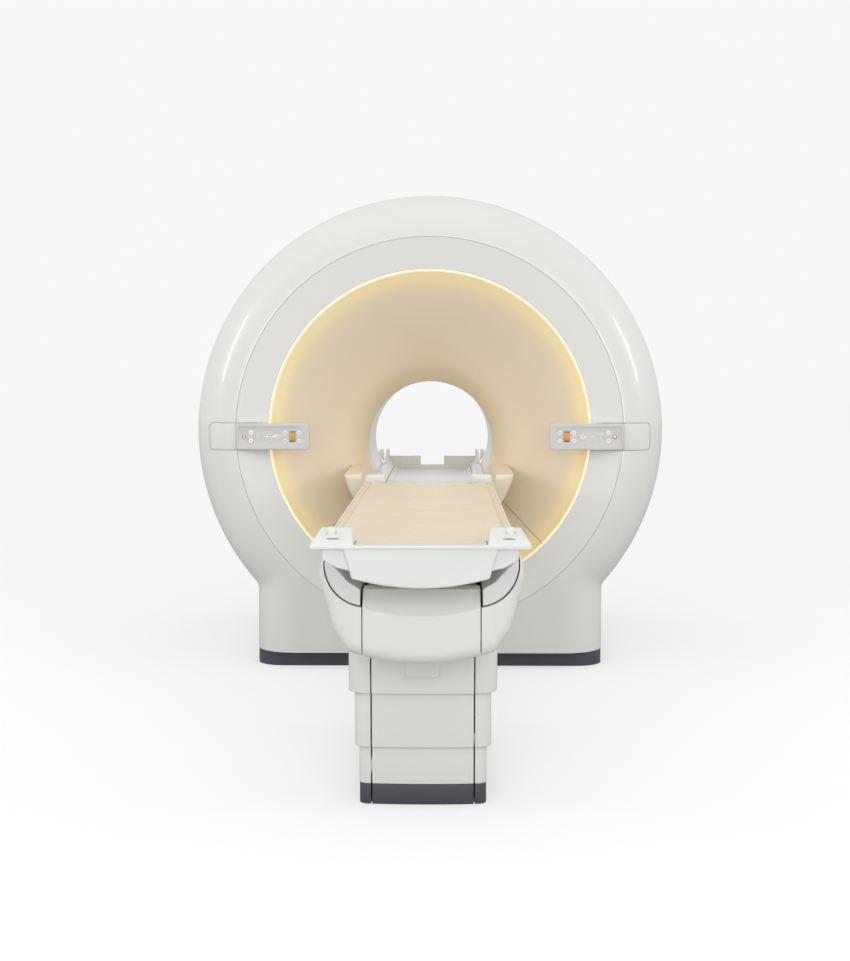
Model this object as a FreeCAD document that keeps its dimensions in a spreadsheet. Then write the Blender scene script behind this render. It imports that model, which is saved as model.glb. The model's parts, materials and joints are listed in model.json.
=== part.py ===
import FreeCAD, Part
import math
import os
import re
import Sketcher

# A closed-bore magnetic resonance scanner with its patient table.
# Millimetres, +Z up. The patient slides along +Y into the bore, and X runs across the table.
# The origin lies on the floor at the centre of the whole footprint: the table's foot end is at
# the lowest Y and the rear end of the bridge at the highest.

DRIVING = {
    # Gantry covers: a ring that grows out of a straight-sided base.
    "front_face": 450, "rear_face": 2130, "front_joint": 1000, "rear_joint": 1730,
    "ring_radius": 1082, "ring_centre": 1086, "base_half": 806, "base_corner": 50,
    "front_edge": 190, "rear_edge": 120, "cover_wall": 10, "panel_gap": 3, "seam_gap": 1.5,
    "skirt_height": 66, "skirt_wall": 20, "skirt_corner": 120, "skirt_setback": 40,
    # Trim ring, light ring and the two trumpet-shaped ends of the bore.
    "trim_centre": 1085, "seam_radius": 883, "light_radius": 741, "trim_cone": 38,
    "light_depth": 8, "light_width": 7, "flare_front": 500, "flare_mouth": 727, "flare_wall": 8,
    "bore_centre": 1004.5, "bore_radius": 305, "bore_start": 1070, "bore_end": 1830,
    "lip_radius": 300, "lip_angle": 43, "rear_mouth": 545, "rear_lip_radius": 200,
    "rear_lip_angle": 50, "seam_turn": 45,
    # Magnet and coils.
    "vessel_radius": 930, "vessel_start": 640, "vessel_end": 1900, "vessel_wall": 15,
    "warm_bore": 450, "funnel_radius": 700, "funnel_end": 880, "turret_top": 1965,
    "turret_radius": 130, "turret_place": 1300, "vessel_foot_half": 100, "vessel_foot_top": 260,
    "vessel_foot_across": 450, "vessel_foot_front": 900, "vessel_foot_rear": 1640,
    # Bridge that carries the tabletop through the bore.
    "bridge_start": 180, "bridge_end": 2250, "bowl_half": 374, "bowl_depth": 294,
    "bowl_top": 908, "rail_top": 860, "rail_half": 262, "bridge_floor": 800,
    "horn_top": 912, "stop_top": 874, "stop_notch": 824, "notch_half": 67,
    # Control panels on both sides of the light ring.
    "panel_outer": 1007, "panel_step": 880, "panel_inner": 547, "panel_height": 122,
    "panel_centre": 1063, "panel_face": 438, "panel_back": 482, "bay_back": 520,
    "recess_depth": 3.5, "button_radius": 11.5, "button_row": 19, "button_travel": 2,
    "wheel_radius": 22, "wheel_proud": 2, "wheel_width": 25, "wheel_centre": 624, "stop_centre": 843.7,
    # Table: telescoping pedestal.
    "pedestal_front": -1780, "pedestal_rear": -820, "pedestal_half": 201.5, "bulge": 12,
    "middle_step": 14.5, "upper_step": 33, "pedestal_wall": 6, "front_panel_half": 162,
    "pedestal_gap": 4, "lower_top": 280, "middle_bottom": 186, "middle_top": 420,
    "upper_bottom": 361, "frame_bottom": 600, "pedestal_corner": 30, "plate_height": 15,
    "mast_centre": -1300, "plate_half": 178, "plate_setback": 36, "plate_corner": 14,
    "anchor_across": 150, "anchor_along": 380, "anchor_radius": 7,
    "boss_half": 52, "boss_bottom": 415, "boss_top": 475, "boss_out": 14,
    # Table: carriage, a long trough that the tabletop slides in.
    "carriage_front": -2100, "carriage_rear": 100, "carriage_half": 308, "carriage_top": 815,
    "carriage_wall": 8, "carriage_seam": 175, "channel_floor": 722, "frame_top": 715,
    "belly": 215, "keel": 535, "keel_sag": 30, "waist": 263, "waist_height": 600,
    "shoulder": 296, "shoulder_height": 765, "nose_radius": 707, "nose_crease": 651, "nose_edge": 45,
    "nose_wall": 30, "frame_half": 165, "frame_wall": 15, "frame_setback": 160, "arm_setback": 6,
    "bay_corner": 674, "bay_radius": 122, "bay_half": 290, "bay_top": 812,
    # Tabletop with its footboard and mattress.
    "table_foot": -2250, "table_head": 150, "deck_start": -2129, "rim_half": 272, "rim_top": 880,
    "rim_bottom": 864, "deck_sag": 26, "hull_bottom": 818, "pad_sag": 24, "pad_top": 892,
    "lip_half": 312, "lip_bottom": 867, "lip_top": 876, "block_inner": 190, "block_top": 916,
    "knob_radius": 13, "knob_centre": 256, "knob_place": -2168, "knob_top": 922,
    "apron_bottom": 782, "apron_half": 195, "apron_sag": 28, "block_lean": 26, "block_draft": 12,
}

doc = FreeCAD.newDocument("mri_scanner")
sheet = doc.addObject("Spreadsheet::Sheet", "Dims")
for row, (alias, size) in enumerate(DRIVING.items(), start=1):
    sheet.set(f"A{row}", alias.replace("_", " "))
    sheet.set(f"B{row}", str(size))
    sheet.setAlias(f"B{row}", alias)
doc.recompute()

nodes = []


def bound(text):
    """The expression with each driving dimension read from the sheet."""
    return re.sub(r"[a-z][a-z_]*", lambda m: f"Dims.{m[0]}" if m[0] in DRIVING else m[0], str(text))


def value(text):
    """The expression's present value as a plain number."""
    return float(sheet.evalExpression(bound(text)))


def keep(thing, label):
    """Name a finished piece, which is then written as a node of its own."""
    thing.Label = label
    nodes.append(thing)
    return thing


# ---- sketches and solids of sketches ----------------------------------------------------------

def add_arc(sketch, start, end, radius, clockwise, large):
    """Arc of a given radius between two points, on the left of the way from start to end."""
    a, b = (end, start) if clockwise else (start, end)
    half = (b - a) * 0.5
    rise = math.sqrt(max(radius ** 2 - half.Length ** 2, 0)) * (-1 if large else 1)
    centre = a + half + FreeCAD.Vector(-half.y, half.x, 0).normalize() * rise
    first = math.atan2(a.y - centre.y, a.x - centre.x)
    last = math.atan2(b.y - centre.y, b.x - centre.x)
    circle = Part.Circle(centre, FreeCAD.Vector(0, 0, 1), radius)
    return sketch.addGeometry(Part.ArcOfCircle(circle, first, last if last > first else last + 2 * math.pi))


def add_loop(sketch, outline):
    """Closed loop of corners (x, y) or (x, y, radius, "cw" or "ccw" or "large").

    A radius makes the edge from that corner to the next one an arc. Every number is an
    expression of the driving dimensions, and becomes a constraint of the sketch.
    """
    points = [FreeCAD.Vector(value(c[0]), value(c[1]), 0) for c in outline]
    ends = []
    for i, corner in enumerate(outline):
        start, end = points[i], points[(i + 1) % len(points)]
        if len(corner) == 2:
            edge = sketch.addGeometry(Part.LineSegment(start, end))
            ends.append((edge, 1, 2))
            continue
        radius, way = corner[2:]
        edge = add_arc(sketch, start, end, value(radius), way == "cw", way == "large")
        ends.append((edge, 2, 1) if way == "cw" else (edge, 1, 2))
        size = sketch.addConstraint(Sketcher.Constraint("Radius", edge, value(radius)))
        sketch.setExpression(f"Constraints[{size}]", bound(radius))
    for i, corner in enumerate(outline):
        edge, first, last = ends[i]
        after, after_first, _ = ends[(i + 1) % len(ends)]
        sketch.addConstraint(Sketcher.Constraint("Coincident", edge, last, after, after_first))
        for kind, axis, text in (("DistanceX", -2, corner[0]), ("DistanceY", -1, corner[1])):
            if value(text) == 0:
                sketch.addConstraint(Sketcher.Constraint("PointOnObject", edge, first, axis))
                continue
            size = sketch.addConstraint(Sketcher.Constraint(kind, -1, 1, edge, first, value(text)))
            sketch.setExpression(f"Constraints[{size}]", bound(text))


def add_circle(sketch, across, up, radius):
    """Circle with its centre and radius as constraints."""
    centre = FreeCAD.Vector(value(across), value(up), 0)
    edge = sketch.addGeometry(Part.Circle(centre, FreeCAD.Vector(0, 0, 1), value(radius)))
    for kind, text in (("DistanceX", across), ("DistanceY", up)):
        size = sketch.addConstraint(Sketcher.Constraint(kind, -1, 1, edge, 3, value(text)))
        sketch.setExpression(f"Constraints[{size}]", bound(text))
    size = sketch.addConstraint(Sketcher.Constraint("Radius", edge, value(radius)))
    sketch.setExpression(f"Constraints[{size}]", bound(radius))


def new_sketch(body, plane, loops=(), circles=(), across="0", up="0", out="0"):
    """Sketch on one of the body's own planes, moved by three offsets along its own axes."""
    planes = {item.Role: item for item in body.Origin.OriginFeatures}
    sketch = body.newObject("Sketcher::SketchObject", f"{body.Name}_sketch")
    sketch.AttachmentSupport = (planes[plane], [""])
    sketch.MapMode = "FlatFace"
    for axis, text in (("x", across), ("y", up), ("z", out)):
        sketch.setExpression(f"AttachmentOffset.Base.{axis}", bound(text))
    for outline in loops:
        add_loop(sketch, outline)
    for circle in circles:
        add_circle(sketch, *circle)
    return sketch


def prism(name, plane, start, end, loops=(), circles=()):
    """Body padded from a sketch, between two places along the plane's global axis."""
    body = doc.addObject("PartDesign::Body", name)
    backwards = plane == "XZ_Plane"
    out = f"-({end})" if backwards else start
    sketch = new_sketch(body, plane, loops, circles, out=out)
    pad = body.newObject("PartDesign::Pad", f"{name}_pad")
    pad.Profile = sketch
    pad.setExpression("Length", bound(f"({end}) - ({start})"))
    doc.recompute()
    return body


def turned(name, outline, centre):
    """Body turned about an axis along Y at height centre; the outline holds (y, radius)."""
    body = doc.addObject("PartDesign::Body", name)
    sketch = new_sketch(body, "YZ_Plane", [outline], up=centre)
    turn = body.newObject("PartDesign::Revolution", f"{name}_turn")
    turn.Profile = sketch
    turn.ReferenceAxis = (sketch, ["H_Axis"])
    turn.Angle = 360
    doc.recompute()
    return body


def rounded(body, radius, test):
    """Fillet every edge of the body's last feature that passes the test."""
    tip = body.Tip
    names = [f"Edge{i}" for i, edge in enumerate(tip.Shape.Edges, start=1) if test(edge)]
    fillet = body.newObject("PartDesign::Fillet", f"{body.Name}_fillet")
    fillet.Base = (tip, names)
    fillet.setExpression("Radius", bound(radius))
    doc.recompute()
    return body


def along(axis):
    """Test for straight edges along one axis, by its letter."""
    def test(edge):
        span = edge.Vertexes[-1].Point - edge.Vertexes[0].Point
        return edge.Length > 1e-6 and abs(abs(getattr(span, axis)) - edge.Length) < 1e-6
    return test


def at_plane(axis, text, also=lambda edge: True):
    """Test for edges that lie in one plane across an axis."""
    place = value(text)

    def test(edge):
        low, high = (getattr(edge.BoundBox, axis.upper() + end) for end in ("Min", "Max"))
        return abs(low - place) < 0.01 and abs(high - place) < 0.01 and also(edge)
    return test


# ---- primitives and booleans ------------------------------------------------------------------

def box(name, x, y, z):
    """Box between two places on each axis."""
    block = doc.addObject("Part::Box", name)
    for size, axis, (low, high) in (("Length", "x", x), ("Width", "y", y), ("Height", "z", z)):
        block.setExpression(size, bound(f"({high}) - ({low})"))
        block.setExpression(f"Placement.Base.{axis}", bound(low))
    return block


def rod(name, radius, x, y, z):
    """Cylinder along Y; y is the pair of places where it starts and ends."""
    bar = doc.addObject("Part::Cylinder", name)
    bar.Placement.Rotation = FreeCAD.Rotation(FreeCAD.Vector(1, 0, 0), -90)
    bar.setExpression("Radius", bound(radius))
    bar.setExpression("Height", bound(f"({y[1]}) - ({y[0]})"))
    for axis, text in (("x", x), ("y", y[0]), ("z", z)):
        bar.setExpression(f"Placement.Base.{axis}", bound(text))
    return bar


def cut(name, base, tool):
    """The base with the tool taken away."""
    result = doc.addObject("Part::Cut", name)
    result.Base, result.Tool = base, tool
    return result


def common(name, base, tool):
    """What the base and the tool share."""
    result = doc.addObject("Part::Common", name)
    result.Base, result.Tool = base, tool
    return result


def fuse(name, pieces):
    """Several solids joined into one."""
    result = doc.addObject("Part::MultiFuse", name)
    result.Shapes = pieces
    result.Refine = True
    return result


def group(name, pieces):
    """Several separate solids that share one node."""
    result = doc.addObject("Part::Compound", name)
    result.Links = pieces
    return result


def mirrored(name, source):
    """The same piece on the other side of the centre plane."""
    result = doc.addObject("Part::Mirroring", name)
    result.Source = source
    result.Normal = FreeCAD.Vector(1, 0, 0)
    return result


def trumpet(name, sections, extra):
    """Solid lofted through circles across Y; sections hold (y, radius, height of centre)."""
    rings = []
    for i, (place, radius, height) in enumerate(sections):
        ring = doc.addObject("Part::Circle", f"{name}_ring_{i}")
        ring.Placement.Rotation = FreeCAD.Rotation(FreeCAD.Vector(1, 0, 0), -90)
        ring.setExpression("Radius", bound(f"{radius} + {extra}"))
        ring.setExpression("Placement.Base.y", bound(place))
        ring.setExpression("Placement.Base.z", bound(height))
        rings.append(ring)
    loft = doc.addObject("Part::Loft", name)
    loft.Sections = rings
    loft.Solid = True
    return loft


# ---- gantry covers ----------------------------------------------------------------------------

def cover_solid(name, start, end, inset="0", drop="0", edge=None, edge_place=None):
    """The gantry's outline between two places along Y: a ring on a straight-sided base."""
    half = f"(base_half - {inset})"
    radius = f"(ring_radius - {inset})"
    bottom = f"skirt_height - {drop}"
    joint = f"ring_centre - sqrt({radius}^2 - {half}^2)"
    outline = [
        (f"-{half}", bottom), (half, bottom),
        (half, joint, radius, "large"), (f"-{half}", joint),
    ]
    body = prism(name, "XZ_Plane", start, end, [outline])
    height = value(joint)
    rounded(body, f"base_corner + {inset}",
            lambda e: along("y")(e) and abs(e.Vertexes[0].Z - height) < 0.01)
    if edge:
        low = value(bottom)
        above = lambda e: e.BoundBox.ZMax > low + 1
        rounded(body, edge, at_plane("y", edge_place, above))
    return body


def build_covers(panel_bays):
    """Front, side and rear covers, each a shell that is open below."""
    outer = cover_solid("front_outer", "front_face", "front_joint",
                        edge="front_edge", edge_place="front_face")
    inner = cover_solid("front_inner", "front_face + cover_wall", "front_joint + 1", "cover_wall",
                        "5", "front_edge - cover_wall", "front_face + cover_wall")
    flange = turned("front_flange", [
        ("front_face + 2", "seam_radius + seam_gap"), ("front_face + 2", "seam_radius + 12"),
        ("front_face + 40", "seam_radius + 12"), ("front_face + 40", "seam_radius + seam_gap"),
    ], "trim_centre")
    opening = rod("front_opening", "seam_radius + seam_gap / 2", "0",
                  ("front_face - 10", "front_face + 60"), "trim_centre")
    walls = fuse("front_walls", [cut("front_shell", outer, inner), flange])
    opened = cut("front_opened", walls, opening)
    keep(cut("front_cover", opened, panel_bays), "front_cover")

    rear_outer = cover_solid("rear_outer", "rear_joint", "rear_face",
                             edge="rear_edge", edge_place="rear_face")
    rear_inner = cover_solid("rear_inner", "rear_joint - 1", "rear_face - cover_wall", "cover_wall",
                             "5", "rear_edge - cover_wall", "rear_face - cover_wall")
    rear_opening = rod("rear_opening", "rear_mouth + flare_wall + panel_gap", "0",
                       ("rear_face - 60", "rear_face + 10"), "bore_centre")
    keep(cut("rear_cover", cut("rear_shell", rear_outer, rear_inner), rear_opening), "rear_cover")

    middle = ("front_joint + panel_gap", "rear_joint - panel_gap")
    belt = cut("middle_belt", cover_solid("middle_outer", *middle),
               cover_solid("middle_inner", "front_joint", "rear_joint", "cover_wall", "5"))
    left_half = box("left_half", ("-ring_radius - 50", "-panel_gap / 2"),
                    ("front_joint - 50", "rear_joint + 50"), ("0", "ring_radius * 2 + 50"))
    left = common("side_cover_left", belt, left_half)
    keep(left, "side_cover_left")
    keep(mirrored("side_cover_right", left), "side_cover_right")
    return outer


def build_skirt():
    """Dark plinth that the gantry's covers stand on."""
    def plan(inset):
        half = f"(base_half - 4 - {inset})"
        return [
            (f"-{half}", f"front_face + skirt_setback + {inset}"),
            (half, f"front_face + skirt_setback + {inset}"),
            (half, f"rear_face - skirt_setback - {inset}"),
            (f"-{half}", f"rear_face - skirt_setback - {inset}"),
        ]
    outer = prism("skirt_outer", "XY_Plane", "0", "skirt_height", [plan("0")])
    rounded(outer, "skirt_corner", along("z"))
    inner = prism("skirt_inner", "XY_Plane", "-1", "skirt_height + 1", [plan("skirt_wall")])
    rounded(inner, "skirt_corner - skirt_wall", along("z"))
    keep(cut("gantry_skirt", outer, inner), "gantry_skirt")


def build_rings(panel_bays):
    """Conical trim ring inside the front cover, and the light ring at its inner edge."""
    rim = "seam_radius - seam_gap / 2"
    trim = turned("trim_body", [
        ("front_face", rim), ("front_face + trim_cone", "light_radius"),
        ("front_face + trim_cone + 16", "light_radius"),
        ("front_face + trim_cone + 16", "light_radius + 8"),
        ("front_face + trim_cone + 8.5", "light_radius + 8"),
        ("front_face + 10", f"{rim} - 8"), ("front_face + 40", f"{rim} - 8"),
        ("front_face + 40", rim),
    ], "trim_centre")
    keep(cut("trim_ring", trim, panel_bays), "trim_ring")
    start, end = "front_face + trim_cone + 2", "front_face + trim_cone + 2 + light_depth"
    inner, outer = "light_radius - seam_gap - light_width", "light_radius - seam_gap"
    keep(turned("light_ring", [(start, inner), (start, outer), (end, outer), (end, inner)],
                "trim_centre"), "light_ring")


# ---- bore -------------------------------------------------------------------------------------

def front_sections():
    """Circles from the bore's edge to the mouth: a round lip, then a cone that rises a little."""
    sections = []
    for step in range(6):
        turn = f"({step} * lip_angle / 5)"
        sections.append((f"bore_start - lip_radius * sin({turn} * 1deg)",
                         f"bore_radius + lip_radius * (1 - cos({turn} * 1deg))"))
    place, radius = sections[-1]
    for share in (1 / 3, 2 / 3, 1):
        sections.append((f"({place}) + (flare_front - ({place})) * {share}",
                         f"({radius}) + (flare_mouth - ({radius})) * {share}"))
    drift = "(trim_centre - bore_centre) / (bore_start - flare_front)"
    return [(p, r, f"bore_centre + (bore_start - ({p})) * {drift}") for p, r in sections]


def rear_sections():
    """Circles from the bore's rear edge to the smaller rear mouth, all on the bore's axis."""
    sections = []
    for step in range(5):
        turn = f"({step} * rear_lip_angle / 4)"
        sections.append((f"bore_end + rear_lip_radius * sin({turn} * 1deg)",
                         f"bore_radius + rear_lip_radius * (1 - cos({turn} * 1deg))"))
    place, radius = sections[-1]
    for share in (0.5, 1):
        sections.append((f"({place}) + (rear_face - 2 - ({place})) * {share}",
                         f"({radius}) + (rear_mouth - ({radius})) * {share}"))
    return [(p, r, "bore_centre") for p, r in sections]


def quarter(name, shift):
    """Box turned by 45 degrees, so that it holds the lower quarter round the trim ring's axis."""
    block = doc.addObject("Part::Box", name)
    for size in ("Length", "Width", "Height"):
        block.setExpression(size, bound("ring_radius * 2"))
    block.Placement.Rotation = FreeCAD.Rotation(FreeCAD.Vector(0, 1, 0), value("90 + seam_turn"))
    block.setExpression("Placement.Base.z", bound(f"trim_centre + {shift}"))
    return block


def build_bore():
    """Front trumpet with its lower panel, the tunnel, and the rear trumpet."""
    shell = cut("flare_shell", trumpet("flare_outside", front_sections(), "flare_wall"),
                trumpet("flare_inside", front_sections(), "0"))
    keep(cut("front_flare", shell, quarter("above_seam", "panel_gap")), "front_flare")
    keep(common("lower_flare_panel", shell, quarter("below_seam", "0")), "lower_flare_panel")
    start, end = "bore_start + 2", "bore_end - 2"
    keep(turned("bore_tunnel", [
        (start, "bore_radius"), (end, "bore_radius"),
        (end, "bore_radius + 8"), (start, "bore_radius + 8"),
    ], "bore_centre"), "bore_tunnel")
    keep(cut("rear_flare", trumpet("rear_outside", rear_sections(), "flare_wall"),
             trumpet("rear_inside", rear_sections(), "0")), "rear_flare")


def build_magnet():
    """Vacuum vessel on its feet, the coils in it and in its warm bore, and the cold head."""
    hull = turned("vessel_hull", [
        ("vessel_start", "funnel_radius"), ("vessel_start", "vessel_radius"),
        ("vessel_end", "vessel_radius"), ("vessel_end", "warm_bore"), ("funnel_end", "warm_bore"),
    ], "bore_centre")
    cavity = turned("vessel_cavity", [
        ("vessel_start + vessel_wall", "funnel_radius + 8"),
        ("vessel_start + vessel_wall", "vessel_radius - vessel_wall"),
        ("vessel_end - vessel_wall", "vessel_radius - vessel_wall"),
        ("vessel_end - vessel_wall", "warm_bore + vessel_wall"),
        ("funnel_end + 8", "warm_bore + vessel_wall"),
    ], "bore_centre")
    feet = [
        box(f"vessel_foot_{side}_{row}", (f"{x} - vessel_foot_half", f"{x} + vessel_foot_half"),
            (f"{y} - vessel_foot_half", f"{y} + vessel_foot_half"), ("0", "vessel_foot_top"))
        for side, x in (("left", "-vessel_foot_across"), ("right", "vessel_foot_across"))
        for row, y in (("front", "vessel_foot_front"), ("rear", "vessel_foot_rear"))
    ]
    turret = prism("vessel_turret", "XY_Plane", "turret_top - 90", "turret_top",
                   circles=[("0.001", "turret_place", "turret_radius")])
    keep(cut("vacuum_vessel", fuse("vessel_solid", [hull, turret] + feet), cavity), "vacuum_vessel")

    windings = []
    main = [(y, 490, 560, 34) for y in (940, 1080, 1210, 1330, 1460, 1600)]
    shield = [(y, 800, 850, 40) for y in (800, 1740)]
    for number, (place, inner, outer, half) in enumerate(main + shield, start=1):
        span = (f"{place} - {half}", f"{place} + {half}")
        wide = (f"{place} - {half} - 1", f"{place} + {half} + 1")
        windings.append(cut(f"winding_{number}",
                            rod(f"winding_{number}_outer", str(outer), "0", span, "bore_centre"),
                            rod(f"winding_{number}_inner", str(inner), "0", wide, "bore_centre")))
    keep(group("magnet_coils", windings), "magnet_coils")

    tubes = (("gradient_coil", 985, 1765, 345, 435), ("body_coil", 1085, 1815, 318, 332))
    for label, start, end, inner, outer in tubes:
        keep(turned(label, [(start, inner), (end, inner), (end, outer), (start, outer)],
                    "bore_centre"), label)
    keep(turned_up("cold_head", [
        ("0", "turret_top"), ("110", "turret_top"), ("110", "turret_top + 35"),
        ("60", "turret_top + 45"), ("60", "turret_top + 120"), ("75", "turret_top + 125"),
        ("75", "turret_top + 160"), ("0", "turret_top + 160"),
    ], "0", "turret_place"), "cold_head")


def turned_up(name, outline, x, y):
    """Body turned about a vertical axis at (x, y); the outline holds (radius, z)."""
    body = doc.addObject("PartDesign::Body", name)
    sketch = new_sketch(body, "XZ_Plane", [outline], across=x, out=f"-({y})")
    turn = body.newObject("PartDesign::Revolution", f"{name}_turn")
    turn.Profile = sketch
    turn.ReferenceAxis = (sketch, ["V_Axis"])
    turn.Angle = 360
    doc.recompute()
    return body


# ---- bridge -----------------------------------------------------------------------------------

def both_sides(right):
    """Symmetric loop: the right half's corners upwards, then their mirror image."""
    return right + [(f"-({c[0]})", c[1]) for c in reversed(right)]


def build_bridge():
    """Bowl-shaped housing in the flare's mouth, and the trough that runs through the bore."""
    bowl = prism("bowl", "XZ_Plane", "bridge_start", "bore_start - 20", [[
        ("-bowl_half", "bowl_top", "(bowl_half^2 + bowl_depth^2) / (2 * bowl_depth)", "ccw"),
        ("bowl_half", "bowl_top"),
    ]])
    rounded(bowl, "22", at_plane("y", "bridge_start"))
    void = fuse("flare_void", [
        trumpet("flare_room", front_sections(), "-1"),
        box("flare_front_room", ("-bowl_half - 20", "bowl_half + 20"),
            ("bridge_start - 20", "flare_front + 5"), ("400", "1000"))])
    channel = prism("bowl_channel", "XZ_Plane", "bridge_start - 20", "bore_start + 20", [both_sides([
        ("204", "bridge_floor - 13"), ("247", "bridge_floor + 30"), ("rail_half + 4", "rail_top - 2"),
        ("290", "rail_top - 2"), ("296", "bowl_top + 10"),
    ])])
    hollow = prism("bowl_hollow", "XZ_Plane", "bridge_start + 14", "bore_start", [both_sides([
        ("60", "bowl_top - bowl_depth + 16"), ("190", "bowl_top - bowl_depth + 60"),
        ("270", "bridge_floor - 40"), ("180", "bridge_floor - 26"),
    ])])
    inside = common("bowl_inside", bowl, void)
    keep(cut("bridge_housing", cut("bowl_walls", inside, hollow), channel), "bridge_housing")

    trough = prism("trough", "XZ_Plane", "bridge_start + 10", "bridge_end", [both_sides([
        ("200", "bridge_floor - 12"), ("243", "bridge_floor + 32"), ("rail_half", "rail_top - 6"),
        ("rail_half", "rail_top"), ("rail_half - 17", "rail_top"), ("232", "bridge_floor + 42"),
        ("190", "bridge_floor"),
    ])])
    horn = prism("horn", "YZ_Plane", "rail_half - 17", "rail_half", [[
        ("bore_end", "rail_top - 1"), ("bridge_end", "rail_top - 1"), ("bridge_end", "horn_top"),
        ("bridge_end - 60", "horn_top"),
    ]])
    stop = cut("end_wall",
               prism("end_plate", "XZ_Plane", "bridge_end - 16", "bridge_end", [both_sides([
                   ("195", "bridge_floor - 6"), ("238", "bridge_floor + 38"),
                   ("rail_half - 10", "rail_top - 4"), ("rail_half - 10", "stop_top"),
               ])]),
               box("end_notch", ("-notch_half", "notch_half"), ("bridge_end - 30", "bridge_end + 10"),
                   ("stop_notch", "stop_top + 10")))
    ribs = [
        common(f"rib_{number}",
               box(f"rib_block_{number}", ("-120", "120"), (place, place + 16),
                   ("bore_centre - bore_radius", "bridge_floor - 10")),
               rod(f"rib_round_{number}", "bore_radius - 0.3", "0", (place - 5, place + 25),
                   "bore_centre"))
        for number, place in enumerate((1120, 1440, 1760), start=1)
    ]
    keep(fuse("bridge_trough", [trough, horn, mirrored("horn_left", horn), stop] + ribs),
         "bridge_trough")


# ---- control panels ---------------------------------------------------------------------------

def panel_block(name, outer, inner, start, end, grow, corner="16"):
    """Rounded bar of a control panel, left side; outer and inner are distances from the centre."""
    half = f"(panel_height / 2 + {grow})"
    left, right = f"-({outer}) - {grow}", f"-({inner}) + {grow}"
    low, high = f"panel_centre - {half}", f"panel_centre + {half}"
    bar = prism(name, "XZ_Plane", start, end, [[(left, low), (right, low), (right, high), (left, high)]])
    return rounded(bar, f"{corner} + {grow}", along("y"))


def panel_bay(name, grow):
    """Room that a panel takes: a bay in the front cover and a notch in the trim ring."""
    bay = panel_block(f"{name}_bay", "panel_outer", "panel_step - 30", "front_face - 40", "bay_back", grow)
    notch = panel_block(f"{name}_notch", "panel_outer - 5", "panel_inner", "panel_face - 20",
                        f"panel_back + {grow}", grow)
    return fuse(name, [bay, notch])


def build_panels(cover_outer):
    """Left control panel with its keys, and its mirror image on the right."""
    bay = panel_block("panel_bay_block", "panel_outer", "panel_step - 30", "front_face - 40",
                      "bay_back - 3", "0")
    flush = common("panel_flush", bay, cover_outer)
    bar = panel_block("panel_bar", "panel_step", "panel_inner", "panel_face", "panel_back", "0")
    rounded(bar, "5", at_plane("y", "panel_face"))
    recess = panel_block("panel_recess", "panel_step + 8", "panel_inner + 22", "panel_face - 5",
                         "panel_face + recess_depth", "-16", "24")
    keys = {
        f"button_left_{number}": (x, z) for number, (x, z) in enumerate(
            [(x, z) for x in (813, 656.5, 591.5) for z in ("button_row", "-button_row")], start=1)
    }
    keys["stop_button_left"] = ("stop_centre", "0")
    wells = [
        rod(f"well_{name}", "button_radius + 0.5", f"-({x})", ("panel_face - 5", "panel_face + 15"),
            f"panel_centre + ({z})")
        for name, (x, z) in keys.items()
    ]
    slot = box("wheel_slot", ("-wheel_centre - wheel_width / 2 - 1", "-wheel_centre + wheel_width / 2 + 1"),
               ("panel_face - 5", "panel_back - 6"),
               ("panel_centre - wheel_radius - 2", "panel_centre + wheel_radius + 2"))
    left = cut("panel_left", fuse("panel_solid", [flush, bar]),
               fuse("panel_openings", [recess, slot] + wells))
    keep(left, "panel_left")
    keep(mirrored("panel_right", left), "panel_right")
    for name, (x, z) in keys.items():
        face = "panel_face + recess_depth - button_travel"
        cap = prism(name, "XZ_Plane", face, f"{face} + 8",
                    circles=[(f"-({x})", f"panel_centre + ({z})", "button_radius")])
        rounded(cap, "1.5", at_plane("y", face))
        keep(cap, name)
        other = name.replace("left", "right")
        keep(mirrored(other, cap), other)
    chord, axle = "sqrt(wheel_radius^2 - 2^2)", "panel_face + wheel_radius - wheel_proud"
    wheel = prism("thumbwheel_left", "YZ_Plane", "-wheel_centre - wheel_width / 2",
                  "-wheel_centre + wheel_width / 2", [[
                      (f"{axle} - 2", f"panel_centre + {chord}", "wheel_radius", "ccw"),
                      (f"{axle} - 2", f"panel_centre - {chord}"),
                  ]])
    keep(wheel, "thumbwheel_left")
    keep(mirrored("thumbwheel_right", wheel), "thumbwheel_right")


# ---- pedestal ---------------------------------------------------------------------------------

def pedestal_solid(name, step, bottom, top):
    """Plan of the pedestal, grown by a step: a rounded oblong with a slightly bowed front."""
    half = f"(pedestal_half + {step})"
    front = f"(pedestal_front - ({step}) + bulge)"
    body = prism(name, "XY_Plane", bottom, top, [[
        (f"-{half}", front, f"({half}^2 + bulge^2) / (2 * bulge)", "ccw"), (half, front),
        (half, f"pedestal_rear + {step}"), (f"-{half}", f"pedestal_rear + {step}"),
    ]])
    return rounded(body, f"pedestal_corner + ({step})", along("z"))


def pedestal_ring(name, step, bottom, top, wall, boss=None):
    """One telescoping cover: a bowed front panel, and a sheet that wraps the other sides."""
    shell = cut(f"{name}_shell", pedestal_solid(f"{name}_outer", step, bottom, top),
                pedestal_solid(f"{name}_inner", f"{step} - {wall}", f"{bottom} - 1", f"{top} + 1"))

    def slab(part, margin):
        return box(f"{name}_{part}", (f"-front_panel_half - ({margin})", f"front_panel_half + ({margin})"),
                   ("pedestal_front - 120", "pedestal_front + 60"), (f"{bottom} - 5", f"{top} + 5"))
    front = common(f"{name}_front_face", shell, slab("front_slab", "-pedestal_gap / 2"))
    if boss:
        front = fuse(f"{name}_front", [front, boss])
    wrap = cut(f"{name}_wrap", shell, slab("wrap_slab", "pedestal_gap / 2"))
    return front, wrap


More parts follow.
